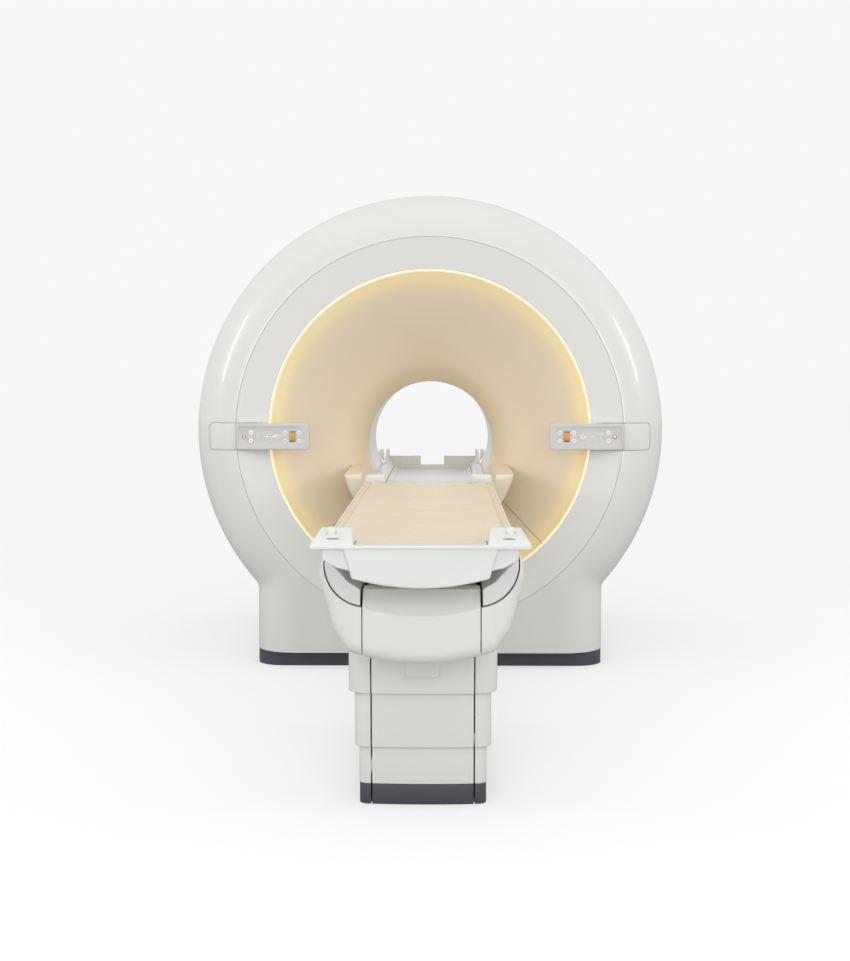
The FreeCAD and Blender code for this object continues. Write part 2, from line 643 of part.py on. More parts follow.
def tube(name, half_x, half_y, wall, bottom, top):
    """Square tube of a lift mast."""
    def ring(less):
        return [(f"-{half_x} + {less}", f"mast_centre - {half_y} + {less}"),
                (f"{half_x} - {less}", f"mast_centre - {half_y} + {less}"),
                (f"{half_x} - {less}", f"mast_centre + {half_y} - {less}"),
                (f"-{half_x} + {less}", f"mast_centre + {half_y} - {less}")]
    return keep(prism(name, "XY_Plane", bottom, top, [ring(0), ring(wall)]), name)


def build_pedestal():
    """Floor plate, plinth, three telescoping covers and the three-stage mast inside."""
    plate = prism("floor_plate", "XY_Plane", "0", "plate_height",
                  [[("-plate_half", "pedestal_front + plate_setback"),
                    ("plate_half", "pedestal_front + plate_setback"),
                    ("plate_half", "pedestal_rear - plate_setback / 2"),
                    ("-plate_half", "pedestal_rear - plate_setback / 2")]])
    rounded(plate, "plate_corner", along("z"))
    anchors = new_sketch(plate, "XY_Plane", circles=[
        (x, f"mast_centre {y} anchor_along", "anchor_radius")
        for x in ("-anchor_across", "anchor_across") for y in "-+"])
    holes = plate.newObject("PartDesign::Pocket", "anchor_holes")
    holes.Profile = anchors
    holes.Type = "ThroughAll"
    holes.Midplane = True
    keep(plate, "floor_plate")

    front, wrap = pedestal_ring("plinth", "-1", "0", "skirt_height", "12")
    keep(front, "table_skirt_front")
    keep(wrap, "table_skirt_wrap")
    levels = (("lower", "0", "skirt_height", "lower_top"),
              ("middle", "middle_step", "middle_bottom", "middle_top"),
              ("upper", "upper_step", "upper_bottom", "frame_bottom"))
    for level, step, bottom, top in levels:
        boss = None
        if level == "upper":
            face = "pedestal_front - upper_step - boss_out"
            boss = prism("column_boss", "XZ_Plane", face, "pedestal_front - upper_step + 6",
                         [[("-boss_half", "boss_bottom"), ("boss_half", "boss_bottom"),
                           ("boss_half + 2", "boss_top"), ("-boss_half - 2", "boss_top")]])
            rounded(boss, "10", along("y"))
            rounded(boss, "5", at_plane("y", face))
        front, wrap = pedestal_ring(f"column_{level}", step, bottom, top, "pedestal_wall", boss)
        keep(front, f"column_{level}_front")
        keep(wrap, f"column_{level}_wrap")
    tube("lift_mast_outer", 120, 200, 8, "plate_height", "300")
    tube("lift_mast_middle", 108, 188, 8, "150", "middle_top")
    tube("lift_mast_inner", 96, 176, 8, "300", "frame_bottom")


# ---- carriage ---------------------------------------------------------------------------------

def bowed(body, front):
    """Take the front of a carriage piece back towards its sides, along one wide arc."""
    reach = "400"
    corner = f"{front} + nose_radius - sqrt(nose_radius^2 - {reach}^2)"
    sketch = new_sketch(body, "XY_Plane", [[
        (f"-{reach}", f"{front} - 50"), (reach, f"{front} - 50"),
        (reach, corner, "nose_radius", "cw"), (f"-{reach}", corner),
    ]])
    pocket = body.newObject("PartDesign::Pocket", f"{body.Name}_bow")
    pocket.Profile = sketch
    pocket.Type = "ThroughAll"
    pocket.Midplane = True
    doc.recompute()
    return body


def on_bow(front, below):
    """Test for edges of a bowed front face that reach below a height."""
    axis, radius, height = value(f"{front} + nose_radius"), value("nose_radius"), value(below)

    def test(edge):
        ends = [math.hypot(v.X, v.Y - axis) - radius for v in edge.Vertexes]
        return max(map(abs, ends)) < 0.01 and edge.BoundBox.ZMin < height - 1
    return test


def carriage_solid(name, inset, front, rear, edge=None):
    """The carriage's outline along Y: widest near the top, with a bowed underside and front."""
    low, bottom = f"(belly - {inset} * 0.7)", f"(keel + {inset})"
    right = [
        (low, bottom), (f"waist - {inset}", f"waist_height + {inset} * 0.3"),
        (f"carriage_half - {inset}", "shoulder_height"), (f"shoulder - {inset}", "carriage_top"),
    ]
    outline = both_sides(right)
    outline[-1] = (*outline[-1], f"({low}^2 + keel_sag^2) / (2 * keel_sag)", "ccw")
    body = bowed(prism(name, "XZ_Plane", front, rear, [outline]), front)
    for corner, radius in ((f"carriage_half - {inset}", "70"), (f"waist - {inset}", "50")):
        place = value(corner)
        rounded(body, radius, lambda e: along("y")(e) and abs(abs(e.Vertexes[0].X) - place) < 0.01)
    if edge:
        rounded(body, edge, on_bow(front, "carriage_top"))
    return body


def channel_loop():
    """The carriage's open top: the tabletop's channel with a round bay for an arm on each side."""
    wall = "carriage_seam + 1"
    return [
        (f"-({wall})", "channel_floor"), (wall, "channel_floor"),
        (wall, "bay_corner", "bay_radius", "ccw"), ("bay_half", "bay_top"), ("bay_half", "900"),
        ("-bay_half", "900"), ("-bay_half", "bay_top", "bay_radius", "ccw"), (f"-({wall})", "bay_corner"),
    ]


def build_carriage():
    """Outer skins, front panel, the arms that cradle the tabletop, and the frame inside."""
    outer = carriage_solid("carriage_outer", "0", "carriage_front", "carriage_rear", "nose_edge")
    skin = cut("carriage_skin", outer,
               carriage_solid("carriage_inner", "carriage_wall", "carriage_front + nose_wall",
                              "carriage_rear - carriage_wall"))
    throat = box("column_throat", ("-pedestal_half - upper_step - 2", "pedestal_half + upper_step + 2"),
                 ("pedestal_front - upper_step - 18", "pedestal_rear + upper_step + 2"),
                 ("400", "frame_bottom"))
    channel = prism("carriage_channel", "XZ_Plane", "carriage_front - 30", "carriage_rear + 30",
                    [channel_loop()])
    opened = cut("carriage_opened", skin, fuse("carriage_openings", [channel, throat]))

    def nose(part, margin):
        return box(f"nose_{part}", (f"-carriage_seam - ({margin})", f"carriage_seam + ({margin})"),
                   ("carriage_front - 20", "carriage_front + 180"), ("450", "carriage_top"))
    slope = "(channel_floor - nose_crease)"
    back, across = "carriage_front + frame_setback - 10", ("-carriage_seam + panel_gap / 2",
                                                           "carriage_seam - panel_gap / 2")
    over = prism("nose_over", "YZ_Plane", "-carriage_seam - 5", "carriage_seam + 5", [[
        ("carriage_front - 30", "nose_crease - 30"), (f"carriage_front + {slope} + 5", "channel_floor + 5"),
        ("carriage_front - 30", "channel_floor + 5"),
    ]])
    plate = prism("nose_plate", "YZ_Plane", *across, [[
        ("carriage_front", "nose_crease"), (f"carriage_front + {slope}", "channel_floor"),
        (back, "channel_floor"), (back, "channel_floor - carriage_wall"),
        (f"carriage_front + {slope} + 3", "channel_floor - carriage_wall"),
        ("carriage_front + 3", "nose_crease - carriage_wall"),
    ]])
    front = cut("nose_front", common("nose_walls", opened, nose("panel", "-panel_gap / 2")), over)
    keep(fuse("carriage_front_panel", [front, common("nose_top", plate, outer)]), "carriage_front_panel")
    left_room = box("carriage_left_room", ("-carriage_half - 50", "-panel_gap / 2"),
                    ("carriage_front - 50", "carriage_rear + 50"), ("400", "carriage_top + 50"))
    left = cut("carriage_side_left", common("carriage_left_skin", opened, left_room),
               nose("room", "panel_gap / 2"))
    keep(left, "carriage_side_left")
    keep(mirrored("carriage_side_right", left), "carriage_side_right")

    start = "carriage_front + arm_setback"
    arm = bowed(prism("carriage_arm_left", "XZ_Plane", start, "carriage_rear - arm_setback", [[
        ("-bay_half + 3", "bay_top - 6", "bay_radius - 3", "ccw"), ("-carriage_seam - 5", "bay_corner + 4"),
        ("-carriage_seam - 5", "727"), ("-215", "747"), ("-258", "790"), ("-276", "bay_top - 6"),
    ]]), start)
    rounded(arm, "4", on_bow(start, "bay_top"))
    keep(arm, "carriage_arm_left")
    keep(mirrored("carriage_arm_right", arm), "carriage_arm_right")

    def tube_wall(less):
        return [(f"{x}frame_half {y} {less}", z) for x, y, z in (
            ("-", "+", f"frame_bottom + {less}"), ("", "-", f"frame_bottom + {less}"),
            ("", "-", f"frame_top - {less}"), ("-", "+", f"frame_top - {less}"))]
    beam = prism("frame_beam", "XZ_Plane", "carriage_front + frame_setback", "carriage_rear - 40",
                 [tube_wall("0"), tube_wall("frame_wall")])
    shoes = [box(f"guide_shoe_{side}", (low, high), ("carriage_rear - 600", "carriage_rear - 60"),
                 ("frame_top - 1", "hull_bottom - 2"))
             for side, low, high in (("left", -160, -110), ("right", 110, 160))]
    keep(fuse("carriage_frame", [beam] + shoes), "carriage_frame")


# ---- tabletop ---------------------------------------------------------------------------------

def deck_loop():
    """Section of the tabletop: a shallow cradle with a hull below that runs in the bridge."""
    arc = "((rim_half - 6)^2 + deck_sag^2) / (2 * deck_sag)"
    return [
        ("rim_half - 10", "rim_bottom"), ("rim_half", "rim_top"), ("rim_half - 6", "rim_top", arc, "cw"),
        ("-rim_half + 6", "rim_top"), ("-rim_half", "rim_top"), ("-rim_half + 10", "rim_bottom"),
        ("-222", "rim_bottom"), ("-220", "845"), ("-195", "hull_bottom"), ("195", "hull_bottom"),
        ("220", "845"), ("222", "rim_bottom"),
    ]


def build_tabletop():
    """Tabletop, footboard with its corner blocks, mattress, sockets and release knobs."""
    keep(prism("tabletop", "XZ_Plane", "deck_start", "table_head", [deck_loop()]), "tabletop")

    bend = "(apron_half^2 + apron_sag^2) / (2 * apron_sag)"
    edge = both_sides([("apron_half", "apron_bottom"), ("221", "lip_bottom + 4")])
    edge[-1] = (*edge[-1], bend, "ccw")
    apron = prism("apron", "XZ_Plane", "table_foot + 4", "table_foot + 26", [edge])
    rounded(apron, "6", at_plane("y", "table_foot + 4", lambda e: e.BoundBox.ZMin < value("lip_bottom")))
    wings = prism("apron_wings", "XZ_Plane", "table_foot + 14", "table_foot + 34", [both_sides([
        ("190", "800"), ("238", "812"), ("276", "834"), ("282", "lip_bottom + 4"),
    ])])
    rounded(wings, "4", at_plane("y", "table_foot + 14", lambda e: e.BoundBox.ZMin < value("lip_bottom")))
    lip = box("lip", ("-lip_half", "lip_half"), ("table_foot", "table_foot + 40"),
              ("lip_bottom", "lip_top"))
    shelf = prism("shelf", "XZ_Plane", "table_foot + 20", "deck_start - 1", [deck_loop()])
    block = prism("corner_block", "YZ_Plane", "block_inner", "lip_half", [[
        ("table_foot", "lip_bottom"), ("table_foot + 120", "lip_bottom"),
        ("table_foot + 120", "block_top"), ("table_foot", "lip_top + 1"),
    ]])
    upright = lambda e: along("z")(e) and e.Vertexes[0].Y > value("table_foot + 100")
    rounded(block, "12", upright)
    flanks = [prism(f"block_flank_{number}", "XZ_Plane", "table_foot - 1", "table_foot + 121", [loop])
              for number, loop in enumerate((
                  [("lip_half", "lip_top"), ("lip_half + 1", "lip_top"), ("lip_half + 1", "block_top + 1"),
                   ("lip_half - block_lean", "block_top + 1")],
                  [("block_inner", "lip_top"), ("block_inner + block_draft", "block_top + 1"),
                   ("block_inner - 1", "block_top + 1"), ("block_inner - 1", "lip_top")]))]
    block = cut("corner_block_right", block, fuse("block_flanks", flanks))
    well = prism("knob_well", "XY_Plane", "872", "block_top + 20",
                 circles=[("knob_centre", "knob_place", "knob_radius + 1")])
    left_well = mirrored("knob_well_left", well)
    solid = fuse("footboard_solid", [apron, wings, lip, shelf, block, mirrored("corner_block_left", block)])
    rest = prism("rest_room", "XZ_Plane", "table_foot + 38", "deck_start + 5", [[
        ("-block_inner - 0.5", "rim_top + 30"), ("-block_inner - 0.5", "lip_top"),
        ("-block_inner - 0.5", "rim_top - 17", "1100", "ccw"), ("block_inner + 0.5", "rim_top - 17"),
        ("block_inner + 0.5", "rim_top + 30"),
    ]])
    trimmed = cut("footboard_trimmed", solid, rest)
    keep(cut("footboard", trimmed, fuse("knob_wells", [well, left_well])), "footboard")

    lower = "((rim_half - 6)^2 + deck_sag^2) / (2 * deck_sag)"
    upper = "(rim_half^2 + pad_sag^2) / (2 * pad_sag)"
    slab = prism("mattress_slab", "XZ_Plane", "table_foot + 40", "table_head - 10", [[
        ("-rim_half", "rim_top + 1"), ("-rim_half + 6", "rim_top + 1", lower, "ccw"),
        ("rim_half - 6", "rim_top + 1"), ("rim_half", "rim_top + 1"),
        ("rim_half", "pad_top", upper, "cw"), ("-rim_half", "pad_top"),
    ]])
    corners = [box(f"mattress_corner_{side}", (low, high), ("table_foot + 30", "deck_start + 4"),
                   ("700", "1000"))
               for side, low, high in (("left", -300, "-block_inner + 3"), ("right", "block_inner - 3", 300))]
    heads = [box(f"mattress_head_{side}", (low, high), ("table_head - 100", "table_head + 5"),
                 ("700", "1000"))
             for side, low, high in (("left", -300, -184), ("right", 184, 300))]
    keep(cut("mattress", slab, fuse("mattress_notches", corners + heads)), "mattress")

    socket = prism("socket_right", "XZ_Plane", "table_head - 92", "table_head - 4", [[
        ("188", "rim_top + 0.5"), ("rim_half", "rim_top + 0.5"), ("rim_half", "914"), ("188", "918"),
    ]])
    rounded(socket, "7", lambda e: e.BoundBox.ZMin > 900)
    keep(group("head_end_sockets", [socket, mirrored("socket_left", socket)]), "head_end_sockets")

    knob = prism("knob_right", "XY_Plane", "880", "knob_top",
                 circles=[("knob_centre", "knob_place", "knob_radius")])
    rounded(knob, "11", at_plane("z", "knob_top"))
    keep(knob, "knob_right")
    keep(mirrored("knob_left", knob), "knob_left")


# ---- the whole scanner ------------------------------------------------------------------------

def build():
    """Make every piece, check it, and write one STEP file for each node."""
    bay = panel_bay("left_bay", "2")
    bays = fuse("panel_bays", [bay, mirrored("right_bay", bay)])
    cover_outer = build_covers(bays)
    build_skirt()
    build_rings(bays)
    build_bore()
    build_magnet()
    build_bridge()
    build_panels(cover_outer)
    build_pedestal()
    build_carriage()
    build_tabletop()
    doc.recompute()

    faults = [item.Name for item in doc.Objects if {"Invalid", "Error"} & set(item.State)]
    faults += [node.Label for node in nodes if node.Shape.isNull() or not node.Shape.isValid()]
    faults += [node.Label for node in nodes if not node.Shape.Solids]
    if faults:
        raise RuntimeError(f"failed objects: {faults}")
    os.makedirs("parts", exist_ok=True)
    for node in nodes:
        node.Shape.exportStep(f"parts/{node.Label}.step")
    print(len(nodes), "nodes written")


build()
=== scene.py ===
"""Looks of a closed-bore scanner with a patient table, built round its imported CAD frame.

Everything is in metres, +Z up. The patient slides along +Y into the bore, and X runs across.
"""

import json
import logging
import math
from dataclasses import dataclass
from enum import Enum

import bmesh
import bpy
import numpy as np
from mathutils import Euler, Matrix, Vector

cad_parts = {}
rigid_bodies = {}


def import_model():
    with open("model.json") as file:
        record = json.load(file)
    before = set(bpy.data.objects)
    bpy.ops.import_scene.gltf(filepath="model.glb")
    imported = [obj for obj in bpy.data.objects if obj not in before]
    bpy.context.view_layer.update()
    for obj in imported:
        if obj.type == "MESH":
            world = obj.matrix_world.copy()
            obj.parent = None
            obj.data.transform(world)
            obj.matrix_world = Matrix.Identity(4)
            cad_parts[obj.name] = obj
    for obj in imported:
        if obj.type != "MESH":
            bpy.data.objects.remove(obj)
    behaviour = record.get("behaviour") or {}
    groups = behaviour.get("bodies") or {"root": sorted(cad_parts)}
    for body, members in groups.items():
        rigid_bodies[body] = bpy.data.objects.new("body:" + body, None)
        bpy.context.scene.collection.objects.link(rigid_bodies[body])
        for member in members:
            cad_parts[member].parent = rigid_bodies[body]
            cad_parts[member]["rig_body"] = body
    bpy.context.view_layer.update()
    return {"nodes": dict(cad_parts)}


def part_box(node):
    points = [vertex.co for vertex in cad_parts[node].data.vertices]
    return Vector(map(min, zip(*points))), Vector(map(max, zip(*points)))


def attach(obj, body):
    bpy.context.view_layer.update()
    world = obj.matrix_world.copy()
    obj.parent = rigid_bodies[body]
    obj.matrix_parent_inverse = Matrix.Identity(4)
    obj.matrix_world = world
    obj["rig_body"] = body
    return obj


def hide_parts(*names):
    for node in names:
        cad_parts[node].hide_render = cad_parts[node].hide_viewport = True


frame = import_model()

MM = 0.001
# Copies of CAD nodes: vertices closer than WELD metres merge, faces within FLAT_TURN degrees of each
# other are one, a rounding has BEVEL_STEPS facets, and an edge is shaded sharp at SHARP_MARGIN degrees
# beyond the angle that is rounded.
WELD = 0.00002
FLAT_TURN = 0.4
BEVEL_STEPS = 3
SHARP_MARGIN = 12
LOG = logging.getLogger("scanner")


class Side(Enum):
    """The two sides of the scanner, as seen from the foot end, with their sign along X."""

    LEFT = -1
    RIGHT = 1

    @property
    def word(self) -> str:
        """The side's name as the CAD nodes spell it."""
        return self.name.lower()


# ---- nodes, finishes and meshes ---------------------------------------------------------------

def add_node(tree: bpy.types.NodeTree, kind: str, settings: dict | None = None,
             inputs: dict | None = None) -> bpy.types.Node:
    """Add one node, set it up and link it.

    Args:
        tree: The node tree that gets the node.
        kind: The node's type name.
        settings: Attributes to set on the node.
        inputs: Socket name or index to a plain value, or to the output socket that feeds it.

    Returns:
        The new node.
    """
    node = tree.nodes.new(kind)
    for key, setting in (settings or {}).items():
        setattr(node, key, setting)
    for key, source in (inputs or {}).items():
        socket = node.inputs[key]
        if isinstance(source, bpy.types.NodeSocket):
            tree.links.new(source, socket)
        else:
            socket.default_value = source
    return node


def linear(code: str) -> tuple[float, float, float, float]:
    """Turn an sRGB hex colour into linear RGBA.

    Args:
        code: Colour as "#rrggbb".

    Returns:
        The linear colour with full alpha.
    """
    channels = [int(code[i:i + 2], 16) / 255 for i in (1, 3, 5)]
    return tuple(c / 12.92 if c <= 0.04045 else ((c + 0.055) / 1.055) ** 2.4 for c in channels) + (1.0,)


def blend_colours(tree: bpy.types.NodeTree, factor: bpy.types.NodeSocket, low: object,
                  high: object) -> bpy.types.NodeSocket:
    """Mix two colours by a factor.

    Args:
        tree: The material's node tree.
        factor: Socket from 0, the first colour, to 1, the second.
        low: Linear colour or colour socket at 0.
        high: Linear colour or colour socket at 1.

    Returns:
        The mixed colour's socket.
    """
    mix = add_node(tree, "ShaderNodeMix", {"data_type": "RGBA"}, {0: factor, 6: low, 7: high})
    return mix.outputs[2]


@dataclass(frozen=True)
class Finish:
    """A moulded, painted or metal surface with fine grain and slight tone variation.

    Sizes are millimetres. The tone is the share by which the second colour drifts in over
    patches of tone_mm, and grain is the bump of the mould's texture.
    """

    name: str
    colour: str
    second: str
    roughness: float
    grain_mm: float = 0.8
    grain_depth_mm: float = 0.01
    tone_mm: float = 240.0
    ior: float = 1.5
    metallic: float = 0.0
    coat: float = 0.0
    stretch: tuple[float, float, float] = (1.0, 1.0, 1.0)

    def pattern(self, tree: bpy.types.NodeTree, size_mm: float, detail: float) -> bpy.types.NodeSocket:
        """Noise on Object coordinates.

        Args:
            tree: The material's node tree.
            size_mm: Size of its features in millimetres.
            detail: Number of finer layers.

        Returns:
            The noise's socket, from 0 to 1.
        """
        place = add_node(tree, "ShaderNodeTexCoord").outputs["Object"]
        spread = add_node(tree, "ShaderNodeMapping", inputs={"Vector": place, "Scale": self.stretch})
        noise = add_node(tree, "ShaderNodeTexNoise", inputs={
            "Vector": spread.outputs[0], "Scale": 1 / (size_mm * MM), "Detail": detail})
        return noise.outputs[0]

    def tint(self, tree: bpy.types.NodeTree) -> bpy.types.NodeSocket:
        """Colour of the surface: two near tones that drift into each other."""
        return blend_colours(tree, self.pattern(tree, self.tone_mm, 2.0), linear(self.colour),
                             linear(self.second))

    def relief(self, tree: bpy.types.NodeTree) -> bpy.types.NodeSocket:
        """Normal of the surface with the mould's grain."""
        bump = add_node(tree, "ShaderNodeBump", inputs={
            "Height": self.pattern(tree, self.grain_mm, 1.0), "Strength": 0.6,
            "Distance": self.grain_depth_mm * MM})
        return bump.outputs[0]

    def material(self) -> bpy.types.Material:
        """The finish as a material, made once and then shared.

        Returns:
            The material.
        """
        made = bpy.data.materials.get(self.name)
        if made:
            return made
        made = bpy.data.materials.new(self.name)
        made.use_nodes = True
        tree = made.node_tree
        shader = tree.nodes["Principled BSDF"]
        for socket, setting in (("Roughness", self.roughness), ("IOR", self.ior),
                                ("Metallic", self.metallic), ("Coat Weight", self.coat)):
            shader.inputs[socket].default_value = setting
        tree.links.new(self.tint(tree), shader.inputs["Base Color"])
        tree.links.new(self.relief(tree), shader.inputs["Normal"])
        self.extra(tree, shader)
        return made

    def extra(self, tree: bpy.types.NodeTree, shader: bpy.types.Node) -> None:
        """Hook for what a kind of finish adds to the shader."""


@dataclass(frozen=True)
class GlowingFlare(Finish):
    """Beige moulding with the light ring's warm glow painted on its outer rim, and painted shade round the
    bore's lip.

    The rim is where the distance from the ring's axis, at height centre_z, reaches rim_radius,
    and the glow dies away over reach metres towards the bore.
    """

    # Painted light: colour of the light ring's glow, painted on the rim.
    glow: str = "#fbeab8"
    deep: str = "#e4d0ad"
    centre_z: float = 1.085
    rim_radius: float = 0.727
    bore_z: float = 1.0045
    bore_radius: float = 0.305
    # Painted shade: the darker beige round the bore's lip.
    reach: float = 0.13
    lip_reach: float = 0.13
    lip_inset: float = 0.02
    rim_past: float = 0.01
    glow_share: float = 0.7
    strength: float = 0.10

    def radial(self, tree: bpy.types.NodeTree, height: float, start: float,
               end: float) -> bpy.types.NodeSocket:
        """Share of the way between two distances from an axis along Y.

        Args:
            tree: The material's node tree.
            height: Height of the axis.
            start: Distance where the share is 0.
            end: Distance where the share is 1.

        Returns:
            The share's socket.
        """
        place = add_node(tree, "ShaderNodeTexCoord").outputs["Object"]
        flat = add_node(tree, "ShaderNodeVectorMath", {"operation": "MULTIPLY_ADD"},
                        {0: place, 1: (1.0, 0.0, 1.0), 2: (0.0, 0.0, -height)})
        away = add_node(tree, "ShaderNodeVectorMath", {"operation": "LENGTH"}, {0: flat.outputs[0]})
        share = add_node(tree, "ShaderNodeMapRange", {"interpolation_type": "SMOOTHERSTEP"}, {
            "Value": away.outputs["Value"], "From Min": start, "From Max": end})
        return share.outputs[0]

    def tint(self, tree: bpy.types.NodeTree) -> bpy.types.NodeSocket:
        """Base beige, with painted shade round the bore's lip and a painted yellow glow at the rim.

        Args:
            tree: The material's node tree.

        Returns:
            The colour's socket.
        """
        base = Finish.tint(self, tree)
        # Painted shade: the beige darkens round the bore's lip.
        lip = self.radial(tree, self.bore_z, self.bore_radius + self.lip_reach,
                          self.bore_radius - self.lip_inset)
        # Painted light: the light ring's yellow glow, painted on the rim.
        rim = self.radial(tree, self.centre_z, self.rim_radius - self.reach,
                          self.rim_radius + self.rim_past)
        inner = blend_colours(tree, lip, base, linear(self.deep))
        return blend_colours(tree, rim, inner, linear(self.glow))

    def extra(self, tree: bpy.types.NodeTree, shader: bpy.types.Node) -> None:
        """Painted light: the moulding itself glows a little at its rim, next to the light ring, though it
        is no lamp.

        Args:
            tree: The material's node tree.
            shader: Its surface shader.
        """
        # Painted light: a weak emission of the glow colour on the rim.
        rim = self.radial(tree, self.centre_z, self.rim_radius - self.reach * self.glow_share,
                          self.rim_radius + self.rim_past)
        light = blend_colours(tree, rim, (0.0, 0.0, 0.0, 1.0), linear(self.glow))
        tree.links.new(light, shader.inputs["Emission Color"])
        shader.inputs["Emission Strength"].default_value = self.strength


@dataclass(frozen=True)
class Diffuser(Finish):
    """Opal plastic that is lit evenly from behind."""

    strength: float = 0.8
    lamp: str = "#fff3d0"

    def extra(self, tree: bpy.types.NodeTree, shader: bpy.types.Node) -> None:
        """Light that comes through the opal plastic."""
        shader.inputs["Emission Color"].default_value = linear(self.lamp)
        shader.inputs["Emission Strength"].default_value = self.strength


@dataclass(frozen=True)
class CoatedFabric(Finish):
    """Wipe-clean coated fabric: fine pebble grain over a slightly warm, soft sheen."""

    sheen: float = 0.25
    crease_mm: float = 90.0
    crease_depth_mm: float = 1.2

    def relief(self, tree: bpy.types.NodeTree) -> bpy.types.NodeSocket:
        """Pebbles of the coating, with shallow wandering creases.

        Args:
            tree: The material's node tree.

        Returns:
            The bumped normal's socket.
        """
        place = add_node(tree, "ShaderNodeTexCoord").outputs["Object"]
        pebble = add_node(tree, "ShaderNodeTexVoronoi", {"feature": "SMOOTH_F1"}, {
            "Vector": place, "Scale": 1 / (self.grain_mm * MM), "Smoothness": 0.7})
        crease = add_node(tree, "ShaderNodeTexNoise", inputs={
            "Vector": place, "Scale": 1 / (self.crease_mm * MM), "Detail": 3.0, "Distortion": 0.6})
        low = add_node(tree, "ShaderNodeBump", inputs={
            "Height": crease.outputs[0], "Strength": 0.35, "Distance": self.crease_depth_mm * MM})
        fine = add_node(tree, "ShaderNodeBump", inputs={
            "Height": pebble.outputs[0], "Strength": 0.5, "Distance": self.grain_depth_mm * MM,
            "Normal": low.outputs[0]})
        return fine.outputs[0]

    def extra(self, tree: bpy.types.NodeTree, shader: bpy.types.Node) -> None:
        """Soft sheen of the coating's edge-on surface."""
        shader.inputs["Sheen Weight"].default_value = self.sheen


# Two-part satin paint on moulded glass-fibre covers: smooth, softly glossy, faint orange peel.
COVER_PAINT = Finish("satin_cover_paint", "#e4e4e1", "#e0e0dd", 0.32, 6.0, 0.010, 300.0, coat=0.3)
# Spark-eroded ABS on the trim ring: dead matt and even, with a sandy grain.
TRIM_ABS = Finish("matt_textured_abs", "#e8e8e5", "#e5e5e2", 0.62, 1.2, 0.05)
# Opal acrylic over the lamp strip: an even, warm white line with no hot spots.
OPAL = Diffuser("opal_acrylic", "#fff9e6", "#fff4d8", 0.4, strength=0.34)
# Beige vacuum-formed liner of the bore's mouth: satin and warm, with a painted glow on its rim and painted
# shade round the bore's lip.
FLARE_BEIGE = GlowingFlare("beige_formed_liner", "#eee1cb", "#ebddc5", 0.34, 2.0, 0.010, coat=0.25)
# The same beige moulding where no lamp is near: plain satin, without the painted glow.
HOUSING_BEIGE = Finish("beige_moulded_abs", "#eadcc5", "#e7d8bf", 0.38, 1.5, 0.010)
# Grey-white gel coat of the tunnel and the bridge: clean, even and slightly reflective.
LINER_GREY = Finish("grey_white_gelcoat", "#e6e6e3", "#e2e2df", 0.38, 2.0, 0.010)
# Charcoal plinth of solid-coloured PVC: dark, dull and slightly scuffed.
PLINTH_PVC = Finish("charcoal_plinth_pvc", "#42424b", "#4a4a54", 0.48, 1.2, 0.04, 120.0)
# Painted covers of the table: same paint, a touch greyer and flatter than the gantry's.
TABLE_PAINT = Finish("satin_table_paint", "#e3e2de", "#dfdeda", 0.34, 4.0, 0.012, 260.0, coat=0.15)
# Bright white polyurethane moulding that hands touch: footboard, arms and blocks.
HANDLE_PU = Finish("white_polyurethane", "#e4e4e2", "#dfdfdd", 0.32, 1.0, 0.012, coat=0.2)
# Composite laminate of the tabletop: a hard, smooth off-white under the cushions.
DECK_LAMINATE = Finish("white_composite_laminate", "#e0dfdb", "#dbdad6", 0.36, 1.5, 0.012)
# Silver-grey panel moulding with a satin lacquer: cooler and darker than the covers round it.
PANEL_GREY = Finish("silver_grey_panel_abs", "#d2d1cf", "#cdccca", 0.40, 1.0, 0.015, 60.0)
# Polyester keypad film, printed from behind: faint discs that hardly stand out.
KEYPAD_FILM = Finish("keypad_film", "#dddcda", "#d8d7d5", 0.30, 0.6, 0.01, 40.0)
# Glossy white ABS of the key caps, and the bright print of the keypad.
KEY_WHITE = Finish("white_key_cap", "#f1f1ef", "#ecebe9", 0.30, 0.6, 0.01, 30.0, coat=0.3)
# Pad-printed key marks: thin, dull colour on white.
MARK_BLUE = Finish("blue_key_print", "#8fa9c6", "#88a2c0", 0.4, 0.6, 0.005, 20.0)
MARK_AMBER = Finish("amber_key_print", "#e0a27e", "#da9b76", 0.4, 0.6, 0.005, 20.0)
# The grey print also serves as painted shade in the slot on each corner block.
GREY_PRINT_AND_SLOT_SHADE = Finish("grey_key_print", "#8e8e90", "#858588", 0.4, 0.6, 0.005, 20.0)
# Moulded dark red ring round the stop button.
STOP_RED = Finish("red_stop_ring", "#a8474f", "#9d3f48", 0.35, 0.6, 0.01, 20.0)
# Amber rubber rim of the sprung wheel: satin, with light on its ribs.
WHEEL_AMBER = Finish("amber_wheel_rubber", "#e9b76e", "#dfa85c", 0.36, 0.6, 0.03, 15.0)
# Cream coated fabric of the mattress: soft, pebbled, with low sheen. Its welt is a little lighter.
MATTRESS_CREAM = CoatedFabric("cream_coated_fabric", "#ddcbad", "#d6c09d", 0.50, 1.6, 0.06, 420.0)
WELT_CREAM = CoatedFabric("cream_welt_cord", "#efe7d6", "#ebe1cd", 0.48, 1.2, 0.05, 120.0)
# Brushed stainless steel of the magnet vessel and the lift: fine streaks along Y.
STEEL = Finish("brushed_vessel_steel", "#b4b6b9", "#a9abae", 0.32, 0.5, 0.01, 60.0, metallic=1.0,
               stretch=(1.0, 0.05, 1.0))
# Copper windings: warm metal with the ripple of the wire.
COPPER = Finish("wound_copper", "#b9764e", "#a5653f", 0.35, 1.0, 0.08, 12.0, metallic=1.0)
# Epoxy resin that the inner coils are cast in: dull green and slightly mottled.
RESIN = Finish("cast_coil_resin", "#59684f", "#50604a", 0.45, 2.0, 0.02, 80.0)
